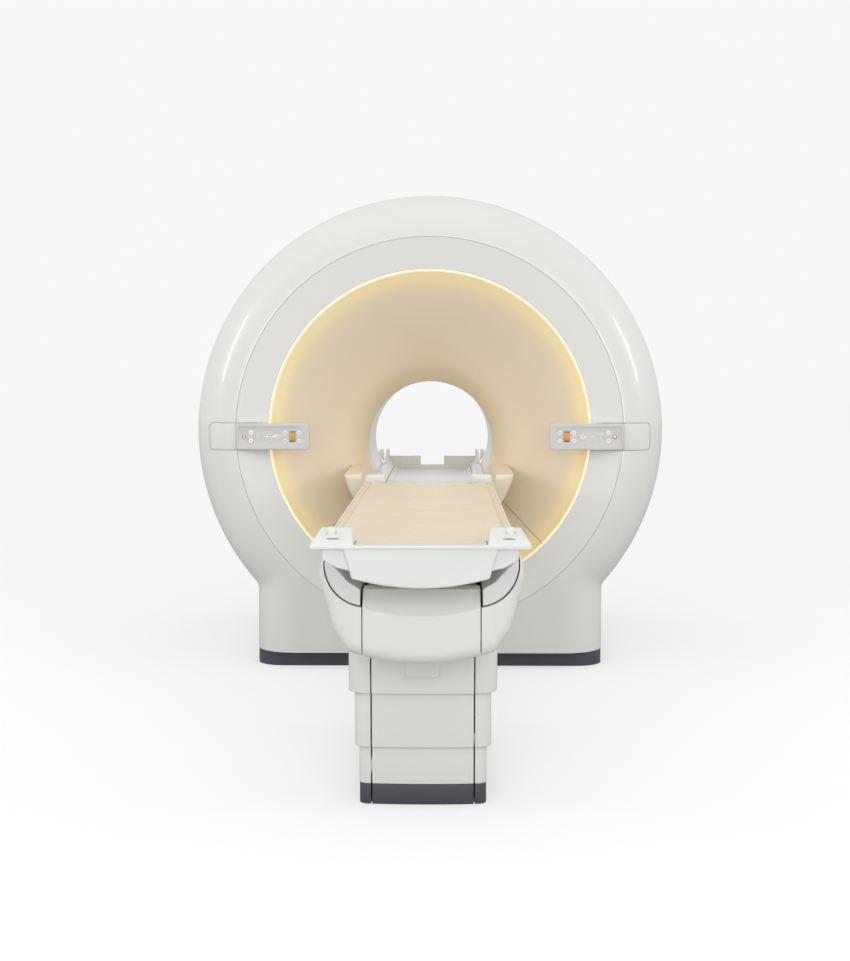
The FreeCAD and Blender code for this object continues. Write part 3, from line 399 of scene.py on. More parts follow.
# Mill-finish aluminium of the carriage frame: pale, with soft rolling streaks.
ALUMINIUM = Finish("mill_aluminium", "#c4c6c9", "#babcc0", 0.38, 0.6, 0.01, 60.0, metallic=1.0,
                   stretch=(1.0, 0.05, 1.0))
# Matt dark grey of a shadowed recess.
SOCKET_SHADE = Finish("shadowed_recess", "#5a5a5c", "#525254", 0.7, 1.0, 0.02, 20.0)


def dress(obj: bpy.types.Object, finish: Finish) -> None:
    """Give an object one finish all over.

    Args:
        obj: The mesh object.
        finish: The finish that it gets.
    """
    slots = obj.material_slots
    if not slots:
        obj.data.materials.append(finish.material())
    for holder in slots:
        holder.material = finish.material()


def dress_nodes(finish: Finish, *names: str) -> None:
    """Give CAD nodes that stay visible one finish.

    Args:
        finish: The finish that they share.
        names: The nodes' names.
    """
    for name in names:
        dress(frame["nodes"][name], finish)


def place_mesh(name: str, mesh: bpy.types.Mesh) -> bpy.types.Object:
    """Link a mesh to the scene as an object at the origin.

    Args:
        name: The object's name.
        mesh: Its mesh.

    Returns:
        The object.
    """
    obj = bpy.data.objects.new(name, mesh)
    bpy.context.scene.collection.objects.link(obj)
    return obj


def banded(count: int, rows: int, closed: bool) -> list:
    """Faces of a tube made of rings of vertices.

    Args:
        count: Vertices in each ring.
        rows: Number of rings.
        closed: Whether the last ring joins the first.

    Returns:
        Four-sided faces, one band after another.
    """
    faces = []
    for row in range(rows if closed else rows - 1):
        after = (row + 1) % rows
        for i in range(count):
            j = (i + 1) % count
            faces.append([row * count + i, row * count + j, after * count + j, after * count + i])
    return faces


def make_object(name: str, points: list, faces: list, finish: Finish,
                smooth: bool = True) -> bpy.types.Object:
    """Make a mesh object at the origin.

    Args:
        name: The piece's name.
        points: Vertex positions in metres.
        faces: Faces as lists of vertex numbers.
        finish: The finish of the whole piece.
        smooth: Whether the faces are shaded smooth.

    Returns:
        The object, linked to the scene.
    """
    mesh = bpy.data.meshes.new(name)
    mesh.from_pydata([tuple(p) for p in points], [], [tuple(f) for f in faces])
    work = bmesh.new()
    work.from_mesh(mesh)
    bmesh.ops.recalc_face_normals(work, faces=work.faces)
    work.to_mesh(mesh)
    work.free()
    mesh.polygons.foreach_set("use_smooth", [smooth] * len(mesh.polygons))
    obj = place_mesh(name, mesh)
    dress(obj, finish)
    return obj


def apply_modifiers(obj: bpy.types.Object) -> None:
    """Turn the evaluated object into its plain mesh and drop its modifiers.

    Args:
        obj: The object whose modifiers are applied.
    """
    graph = bpy.context.evaluated_depsgraph_get()
    made = bpy.data.meshes.new_from_object(obj.evaluated_get(graph))
    obj.modifiers.clear()
    obj.data = made


def softened(node: str, width: float, finish: Finish, turn: float = 28.0,
             other: tuple | None = None) -> bpy.types.Object:
    """Copy a CAD node with its sharp edges rounded, and stand the copy in for it.

    Args:
        node: The CAD node's name.
        width: Width of the rounding in metres.
        finish: The finish of the piece.
        turn: Smallest angle between faces, in degrees, that counts as an edge.
        other: A second finish, and a test of a face's centre that says where it goes.

    Returns:
        The rounded piece, which already rides and replaces the node.
    """
    source = frame["nodes"][node]
    mesh = source.data.copy()
    mesh.name = f"{node}_soft"
    work = bmesh.new()
    work.from_mesh(mesh)
    bmesh.ops.remove_doubles(work, verts=work.verts, dist=WELD)
    bmesh.ops.dissolve_limit(work, angle_limit=math.radians(FLAT_TURN), verts=work.verts,
                             edges=work.edges)
    work.to_mesh(mesh)
    work.free()
    if "custom_normal" in mesh.attributes:
        mesh.attributes.remove(mesh.attributes["custom_normal"])
    mesh.materials.clear()
    obj = place_mesh(f"{node}_soft", mesh)
    bevel = obj.modifiers.new("round", "BEVEL")
    bevel.width = width
    bevel.segments = BEVEL_STEPS
    bevel.limit_method = "ANGLE"
    bevel.angle_limit = math.radians(turn)
    bevel.harden_normals = False
    bevel.use_clamp_overlap = True
    bevel.miter_outer = "MITER_ARC"
    apply_modifiers(obj)
    obj.data.polygons.foreach_set("use_smooth", [True] * len(obj.data.polygons))
    obj.data.set_sharp_from_angle(angle=math.radians(turn + SHARP_MARGIN))
    dress(obj, finish)
    if other:
        obj.data.materials.append(other[0].material())
        for face in obj.data.polygons:
            face.material_index = int(other[1](face.center))
    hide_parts(node)
    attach(obj, source["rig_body"])
    return obj


def rounded_patch(name: str, centre: Vector, size: tuple[float, float], corner: float, depth: float,
                  finish: Finish, lip: float = 0.0004) -> bpy.types.Object:
    """Thin raised patch with round corners that faces -Y.

    Args:
        name: The piece's name.
        centre: Middle of its back face.
        size: Width along X and height along Z.
        corner: Corner radius.
        depth: How far it stands out towards -Y.
        finish: Its finish.
        lip: Width of the chamfer round its face.

    Returns:
        The patch.
    """
    steps = 6
    points = []
    for inset, out in ((0.0, 0.0), (0.0, depth - lip), (lip, depth)):
        half_x, half_z = size[0] / 2 - inset, size[1] / 2 - inset
        radius = max(min(corner, size[0] / 2, size[1] / 2) - inset, 1e-5)
        for quarter, (sx, sz) in enumerate(((1, 1), (-1, 1), (-1, -1), (1, -1))):
            for step in range(steps + 1):
                turn = math.radians(90 * (quarter + step / steps))
                points.append(centre + Vector((
                    sx * (half_x - radius) + radius * math.cos(turn), -out,
                    sz * (half_z - radius) + radius * math.sin(turn))))
    ring = 4 * (steps + 1)
    faces = banded(ring, 3, closed=False)
    faces.append(list(range(2 * ring, 3 * ring)))
    faces.append(list(range(ring))[::-1])
    return make_object(name, points, faces, finish, smooth=False)


def joined(name: str, pieces: list) -> bpy.types.Object:
    """Join several mesh objects into one, keeping their finishes.

    Args:
        name: The name of the joined piece.
        pieces: The objects, whose first one is kept.

    Returns:
        The joined object.
    """
    work = bmesh.new()
    finishes: list = []
    for piece in pieces:
        start = len(work.faces)
        work.from_mesh(piece.data)
        material = piece.data.materials[0]
        if material not in finishes:
            finishes.append(material)
        work.faces.ensure_lookup_table()
        for face in work.faces[start:]:
            face.material_index = finishes.index(material)
    mesh = bpy.data.meshes.new(name)
    work.to_mesh(mesh)
    work.free()
    for material in finishes:
        mesh.materials.append(material)
    for piece in pieces:
        bpy.data.objects.remove(piece)
    return place_mesh(name, mesh)


# ---- geometry nodes ---------------------------------------------------------------------------

def new_tree(name: str, sizes: dict[str, float]) -> tuple[bpy.types.NodeTree, dict[str, str]]:
    """Start a Geometry Nodes tree with a geometry input and named sizes.

    Args:
        name: The tree's name.
        sizes: Names of the float inputs with their values.

    Returns:
        The tree, and each input's socket identifier.
    """
    tree = bpy.data.node_groups.new(name, "GeometryNodeTree")
    tree.interface.new_socket("Geometry", in_out="INPUT", socket_type="NodeSocketGeometry")
    keys = {}
    for label, size in sizes.items():
        socket = tree.interface.new_socket(label, in_out="INPUT", socket_type="NodeSocketFloat")
        socket.default_value = size
        keys[label] = socket.identifier
    tree.interface.new_socket("Geometry", in_out="OUTPUT", socket_type="NodeSocketGeometry")
    return tree, keys


def finish_tree(tree: bpy.types.NodeTree, geometry: bpy.types.NodeSocket, finish: Finish) -> None:
    """End a tree in Realize Instances, Set Material and the output.

    Args:
        tree: The Geometry Nodes tree.
        geometry: The socket of what it has made.
        finish: The finish of the result.
    """
    real = add_node(tree, "GeometryNodeRealizeInstances", inputs={"Geometry": geometry})
    coat = add_node(tree, "GeometryNodeSetMaterial", inputs={
        "Geometry": real.outputs[0], "Material": finish.material()})
    add_node(tree, "NodeGroupOutput", inputs={"Geometry": coat.outputs[0]})


def run_tree(obj: bpy.types.Object, tree: bpy.types.NodeTree, keys: dict[str, str],
             sizes: dict[str, float]) -> None:
    """Run a tree on an object and keep the plain mesh.

    Args:
        obj: The object that carries the tree's input geometry.
        tree: The Geometry Nodes tree.
        keys: Each named input's identifier.
        sizes: The value of each named input.
    """
    modifier = obj.modifiers.new(tree.name, "NODES")
    modifier.node_group = tree
    for label, size in sizes.items():
        modifier[keys[label]] = size
    apply_modifiers(obj)


def welt(name: str, route: list, radius: float, finish: Finish) -> bpy.types.Object:
    """Cord-like welt along a closed route, swept by Geometry Nodes.

    Args:
        name: The piece's name.
        route: Points of the closed route.
        radius: The welt's radius in metres.
        finish: Its finish.

    Returns:
        The welt as a plain mesh.
    """
    mesh = bpy.data.meshes.new(name)
    count = len(route)
    mesh.from_pydata([tuple(p) for p in route], [(i, (i + 1) % count) for i in range(count)], [])
    obj = place_mesh(name, mesh)
    sizes = {"Radius": radius}
    tree, keys = new_tree(f"{name}_sweep", sizes)
    given = add_node(tree, "NodeGroupInput")
    path = add_node(tree, "GeometryNodeMeshToCurve", inputs={"Mesh": given.outputs["Geometry"]})
    ring = add_node(tree, "GeometryNodeCurvePrimitiveCircle", inputs={
        "Resolution": 8, "Radius": given.outputs["Radius"]})
    tube = add_node(tree, "GeometryNodeCurveToMesh", inputs={
        "Curve": path.outputs[0], "Profile Curve": ring.outputs["Curve"]})
    finish_tree(tree, tube.outputs[0], finish)
    run_tree(obj, tree, keys, sizes)
    obj.data.polygons.foreach_set("use_smooth", [True] * len(obj.data.polygons))
    return obj


def rods_on_points(name: str, spots: list, sizes: dict[str, float], corners: int, turn: float,
                   finish: Finish) -> bpy.types.Object:
    """Short rods, each laid on a point and turned about Y, placed by Geometry Nodes.

    Args:
        name: The piece's name.
        spots: Middle of each rod.
        sizes: The rods' "Radius" and "Depth".
        corners: Corners of a rod's section.
        turn: Angle in radians that tips a rod from +Z.
        finish: Their finish.

    Returns:
        The rods as one plain mesh.
    """
    mesh = bpy.data.meshes.new(name)
    mesh.from_pydata([tuple(spot) for spot in spots], [], [])
    obj = place_mesh(name, mesh)
    tree, keys = new_tree(f"{name}_place", sizes)
    given = add_node(tree, "NodeGroupInput")
    rod = add_node(tree, "GeometryNodeMeshCylinder", inputs={
        "Vertices": corners, "Radius": given.outputs["Radius"], "Depth": given.outputs["Depth"]})
    laid = add_node(tree, "GeometryNodeTransform", inputs={
        "Geometry": rod.outputs[0], "Rotation": (0.0, turn, 0.0)})
    spread = add_node(tree, "GeometryNodeInstanceOnPoints", inputs={
        "Points": given.outputs["Geometry"], "Instance": laid.outputs[0]})
    finish_tree(tree, spread.outputs[0], finish)
    run_tree(obj, tree, keys, sizes)
    return obj


# ---- gantry -----------------------------------------------------------------------------------

def extruded(name: str, outline: list, start: float, end: float, finish: Finish) -> bpy.types.Object:
    """Prism along Y.

    Args:
        name: The piece's name.
        outline: Corners (x, z) in order round the section.
        start: Lowest Y.
        end: Highest Y.
        finish: Its finish.

    Returns:
        The prism with slightly rounded edges.
    """
    count = len(outline)
    points = [(x, y, z) for y in (start, end) for x, z in outline]
    faces = [list(range(count)), list(range(count, 2 * count))]
    faces += [[i, (i + 1) % count, count + (i + 1) % count, count + i] for i in range(count)]
    obj = make_object(name, points, faces, finish)
    bevel = obj.modifiers.new("round", "BEVEL")
    bevel.width, bevel.segments, bevel.limit_method = 0.002, 2, "ANGLE"
    apply_modifiers(obj)
    obj.data.set_sharp_from_angle(angle=math.radians(40))
    return obj


@dataclass
class BridgeFittings:
    """Small fittings on the trough: cleats, end brackets and a row of dark discs, painted shade for drain
    holes.
    """

    cleat: tuple = ((0.246, 0.8605), (0.258, 0.8605), (0.256, 0.874), (0.240, 0.866))
    cleat_start: float = 1.765
    cleat_end: float = 1.815
    bracket: tuple = ((0.2635, 0.869), (0.279, 0.886), (0.288, 0.910), (0.287, 0.925), (0.266, 0.930))
    bracket_start: float = 1.835
    bracket_end: float = 1.925
    holes: int = 44
    holes_start: float = 0.30
    holes_end: float = 2.10
    hole_across: float = 0.214
    hole_height: float = 0.824
    hole_radius: float = 0.0028
    hole_length: float = 0.0016
    hole_proud: float = 0.0006
    slope_part: float = 0.7071

    def build(self) -> None:
        """Make the fittings on both sides."""
        for side in Side:
            bracket = [(side.value * x, z) for x, z in self.bracket]
            self.ride(extruded(f"end_bracket_{side.word}", bracket, self.bracket_start, self.bracket_end,
                               LINER_GREY))
            cleat = [(side.value * x, z) for x, z in self.cleat]
            self.ride(extruded(f"trough_cleat_{side.word}", cleat, self.cleat_start, self.cleat_end,
                               LINER_GREY))
            self.ride(self.hole_row(side))
        LOG.info("bridge fittings built")

    def ride(self, piece: bpy.types.Object) -> None:
        """Fix a fitting to the gantry."""
        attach(piece, "root")

    def hole_row(self, side: Side) -> bpy.types.Object:
        """Row of small dark discs down the slope of the trough, painted shade that stands for drain holes.

        Args:
            side: The side of the trough.

        Returns:
            The eyelets as one mesh.
        """
        sign = side.value
        slope = Vector((sign * self.slope_part, 0.0, -self.slope_part))
        base = Vector((sign * self.hole_across, 0.0, self.hole_height)) - slope * self.hole_proud
        places = np.linspace(self.holes_start, self.holes_end, self.holes)
        spots = [base + Vector((0, y, 0)) for y in places]
        sizes = {"Radius": self.hole_radius, "Depth": self.hole_length}
        # Painted shade: dark rods in the shade colour stand in for the holes.
        return rods_on_points(f"drain_holes_{side.word}", spots, sizes, 10, -sign * math.pi / 4,
                              SOCKET_SHADE)


@dataclass
class Gantry:
    """Ring-shaped gantry: painted covers, trim, flare with a painted glow, tunnel and the magnet inside."""

    covers: tuple = ("front_cover", "side_cover_left", "side_cover_right", "rear_cover")
    flares: tuple = ("front_flare", "lower_flare_panel")
    metal: tuple = ("vacuum_vessel", "cold_head", "lift_mast_outer", "lift_mast_middle",
                    "lift_mast_inner", "floor_plate")

    def build(self) -> None:
        """Dress every CAD piece of the gantry."""
        dress_nodes(COVER_PAINT, *self.covers)
        dress_nodes(TRIM_ABS, "trim_ring")
        dress_nodes(OPAL, "light_ring")
        # The flares carry a painted glow on their rims and painted shade round the bore's lip.
        dress_nodes(FLARE_BEIGE, *self.flares)
        dress_nodes(HOUSING_BEIGE, "rear_flare", "bridge_housing")
        dress_nodes(LINER_GREY, "bore_tunnel", "bridge_trough")
        dress_nodes(PLINTH_PVC, "gantry_skirt")
        dress_nodes(STEEL, *self.metal)
        dress_nodes(COPPER, "magnet_coils")
        dress_nodes(RESIN, "gradient_coil", "body_coil")
        LOG.info("gantry dressed")


# ---- control panels ---------------------------------------------------------------------------

@dataclass
class ControlPanel:
    """One control panel with its keypad film, printed keys, round buttons, ring and wheel."""

    side: Side
    film_gap: float = 0.0002
    cap_proud: float = 0.002
    bay_start: float = 0.8805
    bay_face: float = 0.4385
    columns: tuple = (0.7804, 0.752, 0.7244)
    pointers: tuple = (0.7400, 0.7115)
    row_height: float = 0.0143
    full_key: float = 0.696
    edge: float = 0.0012
    disc: float = 0.016
    chevron: float = 0.0030
    dot: float = 0.005
    pointer: float = 0.0085
    key: float = 0.020
    key_proud: float = 0.0009
    mark_proud: float = 0.0003
    key_mark: tuple = (0.0026, 0.0040)
    button_mark: tuple = (0.0028, 0.0044)
    stop_ring: tuple = (0.0052, 0.0088)
    stop_proud: float = 0.0006
    wheel_radius: float = 0.022
    rib_radius: float = 0.0009
    rib_span: float = 120.0
    rib_margin: float = 0.002
    ribs: int = 21

    def spot(self, across: float, height: float, depth: float) -> Vector:
        """Place on the panel by distance from the centre plane, height over its middle and depth."""
        return Vector((self.side.value * across, depth, self.middle + height))

    @property
    def middle(self) -> float:
        """Height of the panel's centre line."""
        low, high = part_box(f"panel_{self.side.word}")
        return (low[2] + high[2]) / 2

    @property
    def floor(self) -> float:
        """Depth of the recess that holds the keys."""
        low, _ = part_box(f"stop_button_{self.side.word}")
        return low[1] + self.cap_proud

    def build(self) -> None:
        """Dress the panel and add its film, keys, marks and ribs."""
        word = self.side.word
        softened(f"panel_{word}", self.edge, PANEL_GREY, other=(
            COVER_PAINT, lambda c: abs(c.x) > self.bay_start and c.y > self.bay_face))
        self.add_cluster()
        for number in range(1, 7):
            self.add_button(number)
        self.add_stop()
        self.add_wheel()
        LOG.info("%s control panel built", word)

    def add_cluster(self) -> None:
        """Faint printed discs of the keypad with bright marks between them, and one full key."""
        parts = []
        for column, across in enumerate(self.columns):
            for row in (-1, 1):
                spot = self.spot(across, row * self.row_height, self.floor - self.film_gap)
                parts.append(rounded_patch(f"disc_{column}_{row}", spot, (self.disc, self.disc), 0.0078,
                                           self.mark_proud, KEYPAD_FILM))
                parts.append(self.arrow(f"chevron_{column}_{row}", spot, self.chevron, 90 * row, GREY_PRINT_AND_SLOT_SHADE))
            spot = self.spot(across, 0.0, self.floor - self.film_gap)
            parts.append(rounded_patch(f"dot_{column}", spot, (self.dot, self.dot), 0.0020, 0.0004,
                                       KEY_WHITE))
        for number, across in enumerate(self.pointers):
            spot = self.spot(across, 0.0, self.floor - self.film_gap)
            outward = 180 if self.side is Side.LEFT else 0
            parts.append(self.arrow(f"pointer_{number}", spot, self.pointer, outward, KEY_WHITE))
        spot = self.spot(self.full_key, 0.0, self.floor - self.film_gap)
        parts.append(rounded_patch("full_key", spot, (self.key, self.key), 0.0095, self.key_proud,
                                   KEY_WHITE))
        parts.append(self.ring("full_mark", spot - Vector((0, self.key_proud, 0)), self.key_mark,
                               self.mark_proud, GREY_PRINT_AND_SLOT_SHADE))
        keys = joined(f"keypad_{self.side.word}", parts)
        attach(keys, "root")

    def arrow(self, name: str, spot: Vector, size: float, turn: float,
              finish: Finish) -> bpy.types.Object:
        """Small raised triangle that faces -Y.

        Args:
            name: The piece's name.
            spot: Its middle, on the surface that it stands on.
            size: Distance from its middle to its corners.
            turn: Angle in degrees of its tip, from +X towards +Z.
            finish: Its finish.

        Returns:
            The triangle.
        """
        corners = [math.radians(turn + a) for a in (0, 130, 230)]
        front = [spot + Vector((size * math.cos(a), -0.0006, size * math.sin(a))) for a in corners]
        back = [spot + Vector((size * math.cos(a), 0.0, size * math.sin(a))) for a in corners]
        faces = [[0, 1, 2], [5, 4, 3]] + [[i, (i + 1) % 3, 3 + (i + 1) % 3, 3 + i] for i in range(3)]
        return make_object(name, front + back, faces, finish, smooth=False)

    def ring(self, name: str, centre: Vector, radii: tuple[float, float], depth: float,
             finish: Finish) -> bpy.types.Object:
        """Flat raised ring that faces -Y.

        Args:
            name: The piece's name.
            centre: Its middle, on the surface that it stands on.
            radii: Inner and outer radius.
            depth: How far it stands out.
            finish: Its finish.

        Returns:
            The ring.
        """
        inner, outer = radii
        turns = [2 * math.pi * step / 40 for step in range(40)]
        points = [centre + Vector((radius * math.cos(turn), -out, radius * math.sin(turn)))
                  for radius, out in ((inner, 0.0), (inner, depth), (outer, depth), (outer, 0.0))
                  for turn in turns]
        return make_object(name, points, banded(len(turns), 4, closed=True), finish, smooth=False)

    def face_middle(self, node: str) -> Vector:
        """Middle of the front face of a cap."""
        low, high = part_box(node)
        return Vector(((low[0] + high[0]) / 2, low[1], (low[2] + high[2]) / 2))

    def add_button(self, number: int) -> None:
        """Dress one round button and give it its small printed mark.

        Args:
            number: The button's number on its panel.
        """
        node = f"button_{self.side.word}_{number}"
        dress_nodes(KEY_WHITE, node)
        finish = {3: MARK_BLUE, 6: MARK_AMBER, 1: MARK_AMBER}.get(number, GREY_PRINT_AND_SLOT_SHADE)
        mark = self.ring(f"{node}_mark", self.face_middle(node), self.button_mark, self.mark_proud, finish)
        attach(mark, node)

    def add_stop(self) -> None:
        """Dress the stop button as a white cap in a red ring."""
        node = f"stop_button_{self.side.word}"
        dress_nodes(KEY_WHITE, node)
        outer = self.ring(f"{node}_ring", self.face_middle(node), self.stop_ring, self.stop_proud, STOP_RED)
        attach(outer, node)

    def add_wheel(self) -> None:
        """Dress the sprung wheel and rib its rim."""
        node = f"thumbwheel_{self.side.word}"
        dress_nodes(WHEEL_AMBER, node)
        low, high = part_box(node)
        radius = self.wheel_radius
        axis = Vector(((low[0] + high[0]) / 2, low[1] + radius, (low[2] + high[2]) / 2))
        turns = np.radians(np.linspace(-self.rib_span / 2, self.rib_span / 2, self.ribs))
        spots = [axis + Vector((0.0, -radius * math.cos(turn), radius * math.sin(turn))) for turn in turns]
        sizes = {"Radius": self.rib_radius, "Depth": high[0] - low[0] - self.rib_margin}
        ribs = rods_on_points(f"{node}_ribs", spots, sizes, 8, math.pi / 2, WHEEL_AMBER)
        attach(ribs, node)


# ---- table ------------------------------------------------------------------------------------

@dataclass
class Pedestal:
    """Telescoping covers of the pedestal and the dark plinth under them."""

    edge: float = 0.0025
    covers: tuple = ("column_lower_front", "column_lower_wrap", "column_middle_front",
                     "column_middle_wrap", "column_upper_front", "column_upper_wrap")
    plinth: tuple = ("table_skirt_front", "table_skirt_wrap")

    def build(self) -> None:
        """Round the edges of every cover."""
        for node in self.covers:
            softened(node, self.edge, TABLE_PAINT)
        for node in self.plinth:
            softened(node, self.edge, PLINTH_PVC)
        LOG.info("pedestal built")


@dataclass
class Carriage:
    """Trough-shaped carriage that the tabletop slides in."""

    skin_edge: float = 0.003
    arm_edge: float = 0.008

    def build(self) -> None:
        """Round the skins and arms, and dress the frame."""
        for node in ("carriage_front_panel", "carriage_side_left", "carriage_side_right"):
            softened(node, self.skin_edge, TABLE_PAINT)
        for node in ("carriage_arm_left", "carriage_arm_right"):
            softened(node, self.arm_edge, HANDLE_PU)
        dress_nodes(ALUMINIUM, "carriage_frame")
        LOG.info("carriage built")


@dataclass
class Tabletop:
    """Tabletop with its footboard, sockets, knobs and mattress."""

    edge: float = 0.003
    footboard_edge: float = 0.0045
    dish_across: float = 0.250
    dish_along: float = -2.207
    dish_half: tuple = (0.036, 0.017)
    slot_half: tuple = (0.020, 0.0055)
    collar_half: tuple = (0.0185, 0.0185)
    sag: float = 0.024
    round_edge: float = 0.007
    block_front: float = 0.877
    seam_depth: float = 0.0036
    seam_half: float = 0.0042
    border: float = 0.023
    cross_seams: tuple = (-1.07, -2.135, 0.045)
    neck: float = 0.187
    near_cut: float = 0.085
    far_cut: float = 0.090
    rim_depth: float = 0.0105
    belly: float = 0.026
    welt_radius: float = 0.0022
    welt_inset: float = 0.003
    welt_drop: float = 0.0035
    wave_height: float = 0.00022
    waves: int = 14
    puff: float = 0.0034
    seed: int = 5
    steps: tuple = (0.0, 0.0008, 0.0022, 0.0042, 0.007)

    def build(self) -> None:
        """Build the soft and the hard pieces of the tabletop."""
        softened("tabletop", self.edge, DECK_LAMINATE)
        softened("footboard", self.footboard_edge, HANDLE_PU)
        softened("head_end_sockets", self.edge, HANDLE_PU)
        dress_nodes(HANDLE_PU, "knob_left", "knob_right")
        for side in Side:
            self.add_block_details(side)
        self.add_mattress()
        LOG.info("tabletop built")

    def on_block(self, across: float, along: float, lift: float) -> Vector:
        """Point on or above a corner block's sloping top.

        Args:
            across: Place along X.
            along: Place along Y.
            lift: Height over the slope, along its normal.

        Returns:
            The point.
        """
        low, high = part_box("footboard")
        rise = (high.z - self.block_front) / (high.y - low.y)
        normal = Vector((0.0, -rise, 1.0)).normalized()
        return Vector((across, along, self.block_front + rise * (along - low.y))) + normal * lift

    def oval(self, name: str, across: float, along: float, half: tuple, band: float, height: float,
             finish: Finish) -> None:
        """Raised oval band or disc on a corner block's top.

        Args:
            name: The piece's name.
            across: Place of its middle along X.
            along: Place of its middle along Y.
            half: Half width and half length.
            band: Width of the band, or 0 for a filled disc.
            height: How far it stands up.
            finish: Its finish.
        """
        count = 36
        rows = [(0.0, -0.002), (0.0, height * 0.6), (0.0008, height)]
        rows += [(band - 0.0008, height), (band, height * 0.6), (band, -0.002)] if band else []
        points = []
        for inset, lift in rows:
            for step in range(count):
                turn = 2 * math.pi * step / count
                points.append(self.on_block(across + (half[0] - inset) * math.cos(turn),
                                            along + (half[1] - inset) * math.sin(turn), lift))
        faces = banded(count, len(rows), closed=bool(band))
        if not band:
            faces += [list(range(count)), list(range(2 * count, 3 * count))]
        piece = make_object(name, points, faces, finish)
        piece.data.set_sharp_from_angle(angle=math.radians(50))
        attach(piece, "tabletop")

    def add_block_details(self, side: Side) -> None:
        """Collar round the release knob, a shallow rimmed dish in front of it, and a dark oval of painted
        shade for a slot.

        Args:
            side: The side of the footboard.
        """
        low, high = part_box(f"knob_{side.word}")
        middle = (low + high) / 2
        self.oval(f"knob_collar_{side.word}", middle.x, middle.y, self.collar_half, 0.0035, 0.0016,
                  HANDLE_PU)
        dish = (side.value * self.dish_across, self.dish_along)
        self.oval(f"block_rim_{side.word}", *dish, self.dish_half, 0.003, 0.0014, HANDLE_PU)
        # Painted shade: a flat dark oval stands for the slot.
        self.oval(f"block_slot_{side.word}", *dish, self.slot_half, 0.0, 0.0005, GREY_PRINT_AND_SLOT_SHADE)

    def outline_distance(self, x: np.ndarray, y: np.ndarray) -> np.ndarray:
        """Distance from each point to the mattress's outline, positive inside.

        Args:
            x: Distance across, without its sign.
            y: Place along the table.

        Returns:
            The shortest distance to an edge of the notched outline.
        """
        inside = np.minimum(self.half - x, np.minimum(y - self.near, self.far - y))
        for line, beyond in ((self.near_notch, y < self.near_notch), (self.far_notch, y > self.far_notch)):
            away = np.abs(y - line)
            corner = np.hypot(np.maximum(self.neck - x, 0), away)
            inside = np.where(beyond, np.minimum(inside, self.neck - x), np.minimum(inside, np.where(
                x > self.neck, away, corner)))
        return inside

    def add_mattress(self) -> None:
        """Thin foam pad, crowned between its sewn seams, with a welt along its edge."""
        low, high = (Vector(c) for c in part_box("mattress"))
        self.half, self.near, self.far, self.top = high.x, low.y, high.y, high.z
        self.near_notch, self.far_notch = self.near + self.near_cut, self.far - self.far_cut
        fine = np.array(self.steps)
        across = [-self.half + fine, -self.neck + fine, -self.neck - fine[1:], self.neck - fine[1:],
                  self.neck + fine, self.half - fine, np.linspace(-self.half, self.half, 64)]
        seam = np.linspace(-0.009, 0.009, 13)
        across += [s * (self.half - self.border) + seam for s in (-1, 1)]
        along = [self.near + fine, self.near_notch + fine, self.near_notch - fine[1:],
                 self.far_notch - fine[1:], self.far_notch + fine, self.far - fine,
                 np.linspace(self.near, self.far, 300)]
        along += [place + seam for place in self.cross_seams]
        xs = self.thinned(np.concatenate(across))
        ys = self.thinned(np.concatenate(along))
        x, y = np.meshgrid(xs, ys, indexing="ij")
        inside = self.outline_distance(np.abs(x), y)
        top = self.surface(x, y, inside)
        hollow = (1 - (x / (self.half - 0.006)) ** 2).clip(0, 1)
        floor = self.top - self.rim_depth - self.belly * hollow
        keep = inside > -1e-7
        numbers = -np.ones(x.shape, int)
        numbers[keep] = np.arange(keep.sum())
        count = int(keep.sum())
        points = [Vector(p) for p in zip(x[keep], y[keep], top[keep])]
        points += [Vector(p) for p in zip(x[keep], y[keep], np.minimum(floor, top - 0.002)[keep])]
        faces, edges = [], {}
        for i in range(len(xs) - 1):
            for j in range(len(ys) - 1):
                ring = [numbers[i, j], numbers[i + 1, j], numbers[i + 1, j + 1], numbers[i, j + 1]]
                middle = self.outline_distance(np.array([abs(xs[i] + xs[i + 1]) / 2]),
                                               np.array([(ys[j] + ys[j + 1]) / 2]))[0]
                if min(ring) < 0 or middle <= 0:
                    continue
                faces.append(ring)
                faces.append([n + count for n in reversed(ring)])
                for k in range(4):
                    edge = (ring[k], ring[(k + 1) % 4])
                    edges[tuple(sorted(edge))] = None if tuple(sorted(edge)) in edges else edge
        faces += [[b, a, a + count, b + count] for a, b in filter(None, edges.values())]
        pad = make_object("mattress_pad", points, faces, MATTRESS_CREAM)
        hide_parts("mattress")
        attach(pad, "tabletop")
        cord = welt("mattress_welt", self.welt_route(), self.welt_radius, WELT_CREAM)
        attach(cord, "tabletop")

    def thinned(self, places: np.ndarray) -> np.ndarray:
        """Sort grid lines and drop near doubles.

        Args:
            places: Grid lines in any order.

        Returns:
            The lines that are kept, with both ends.
        """
        places = np.unique(np.round(places, 5))
        kept = [places[0]]
        for place in places[1:]:
            if place - kept[-1] > 0.0006:
                kept.append(place)
        if places[-1] - kept[-1] > 1e-6:
            kept[-1] = places[-1]
        return np.array(kept)

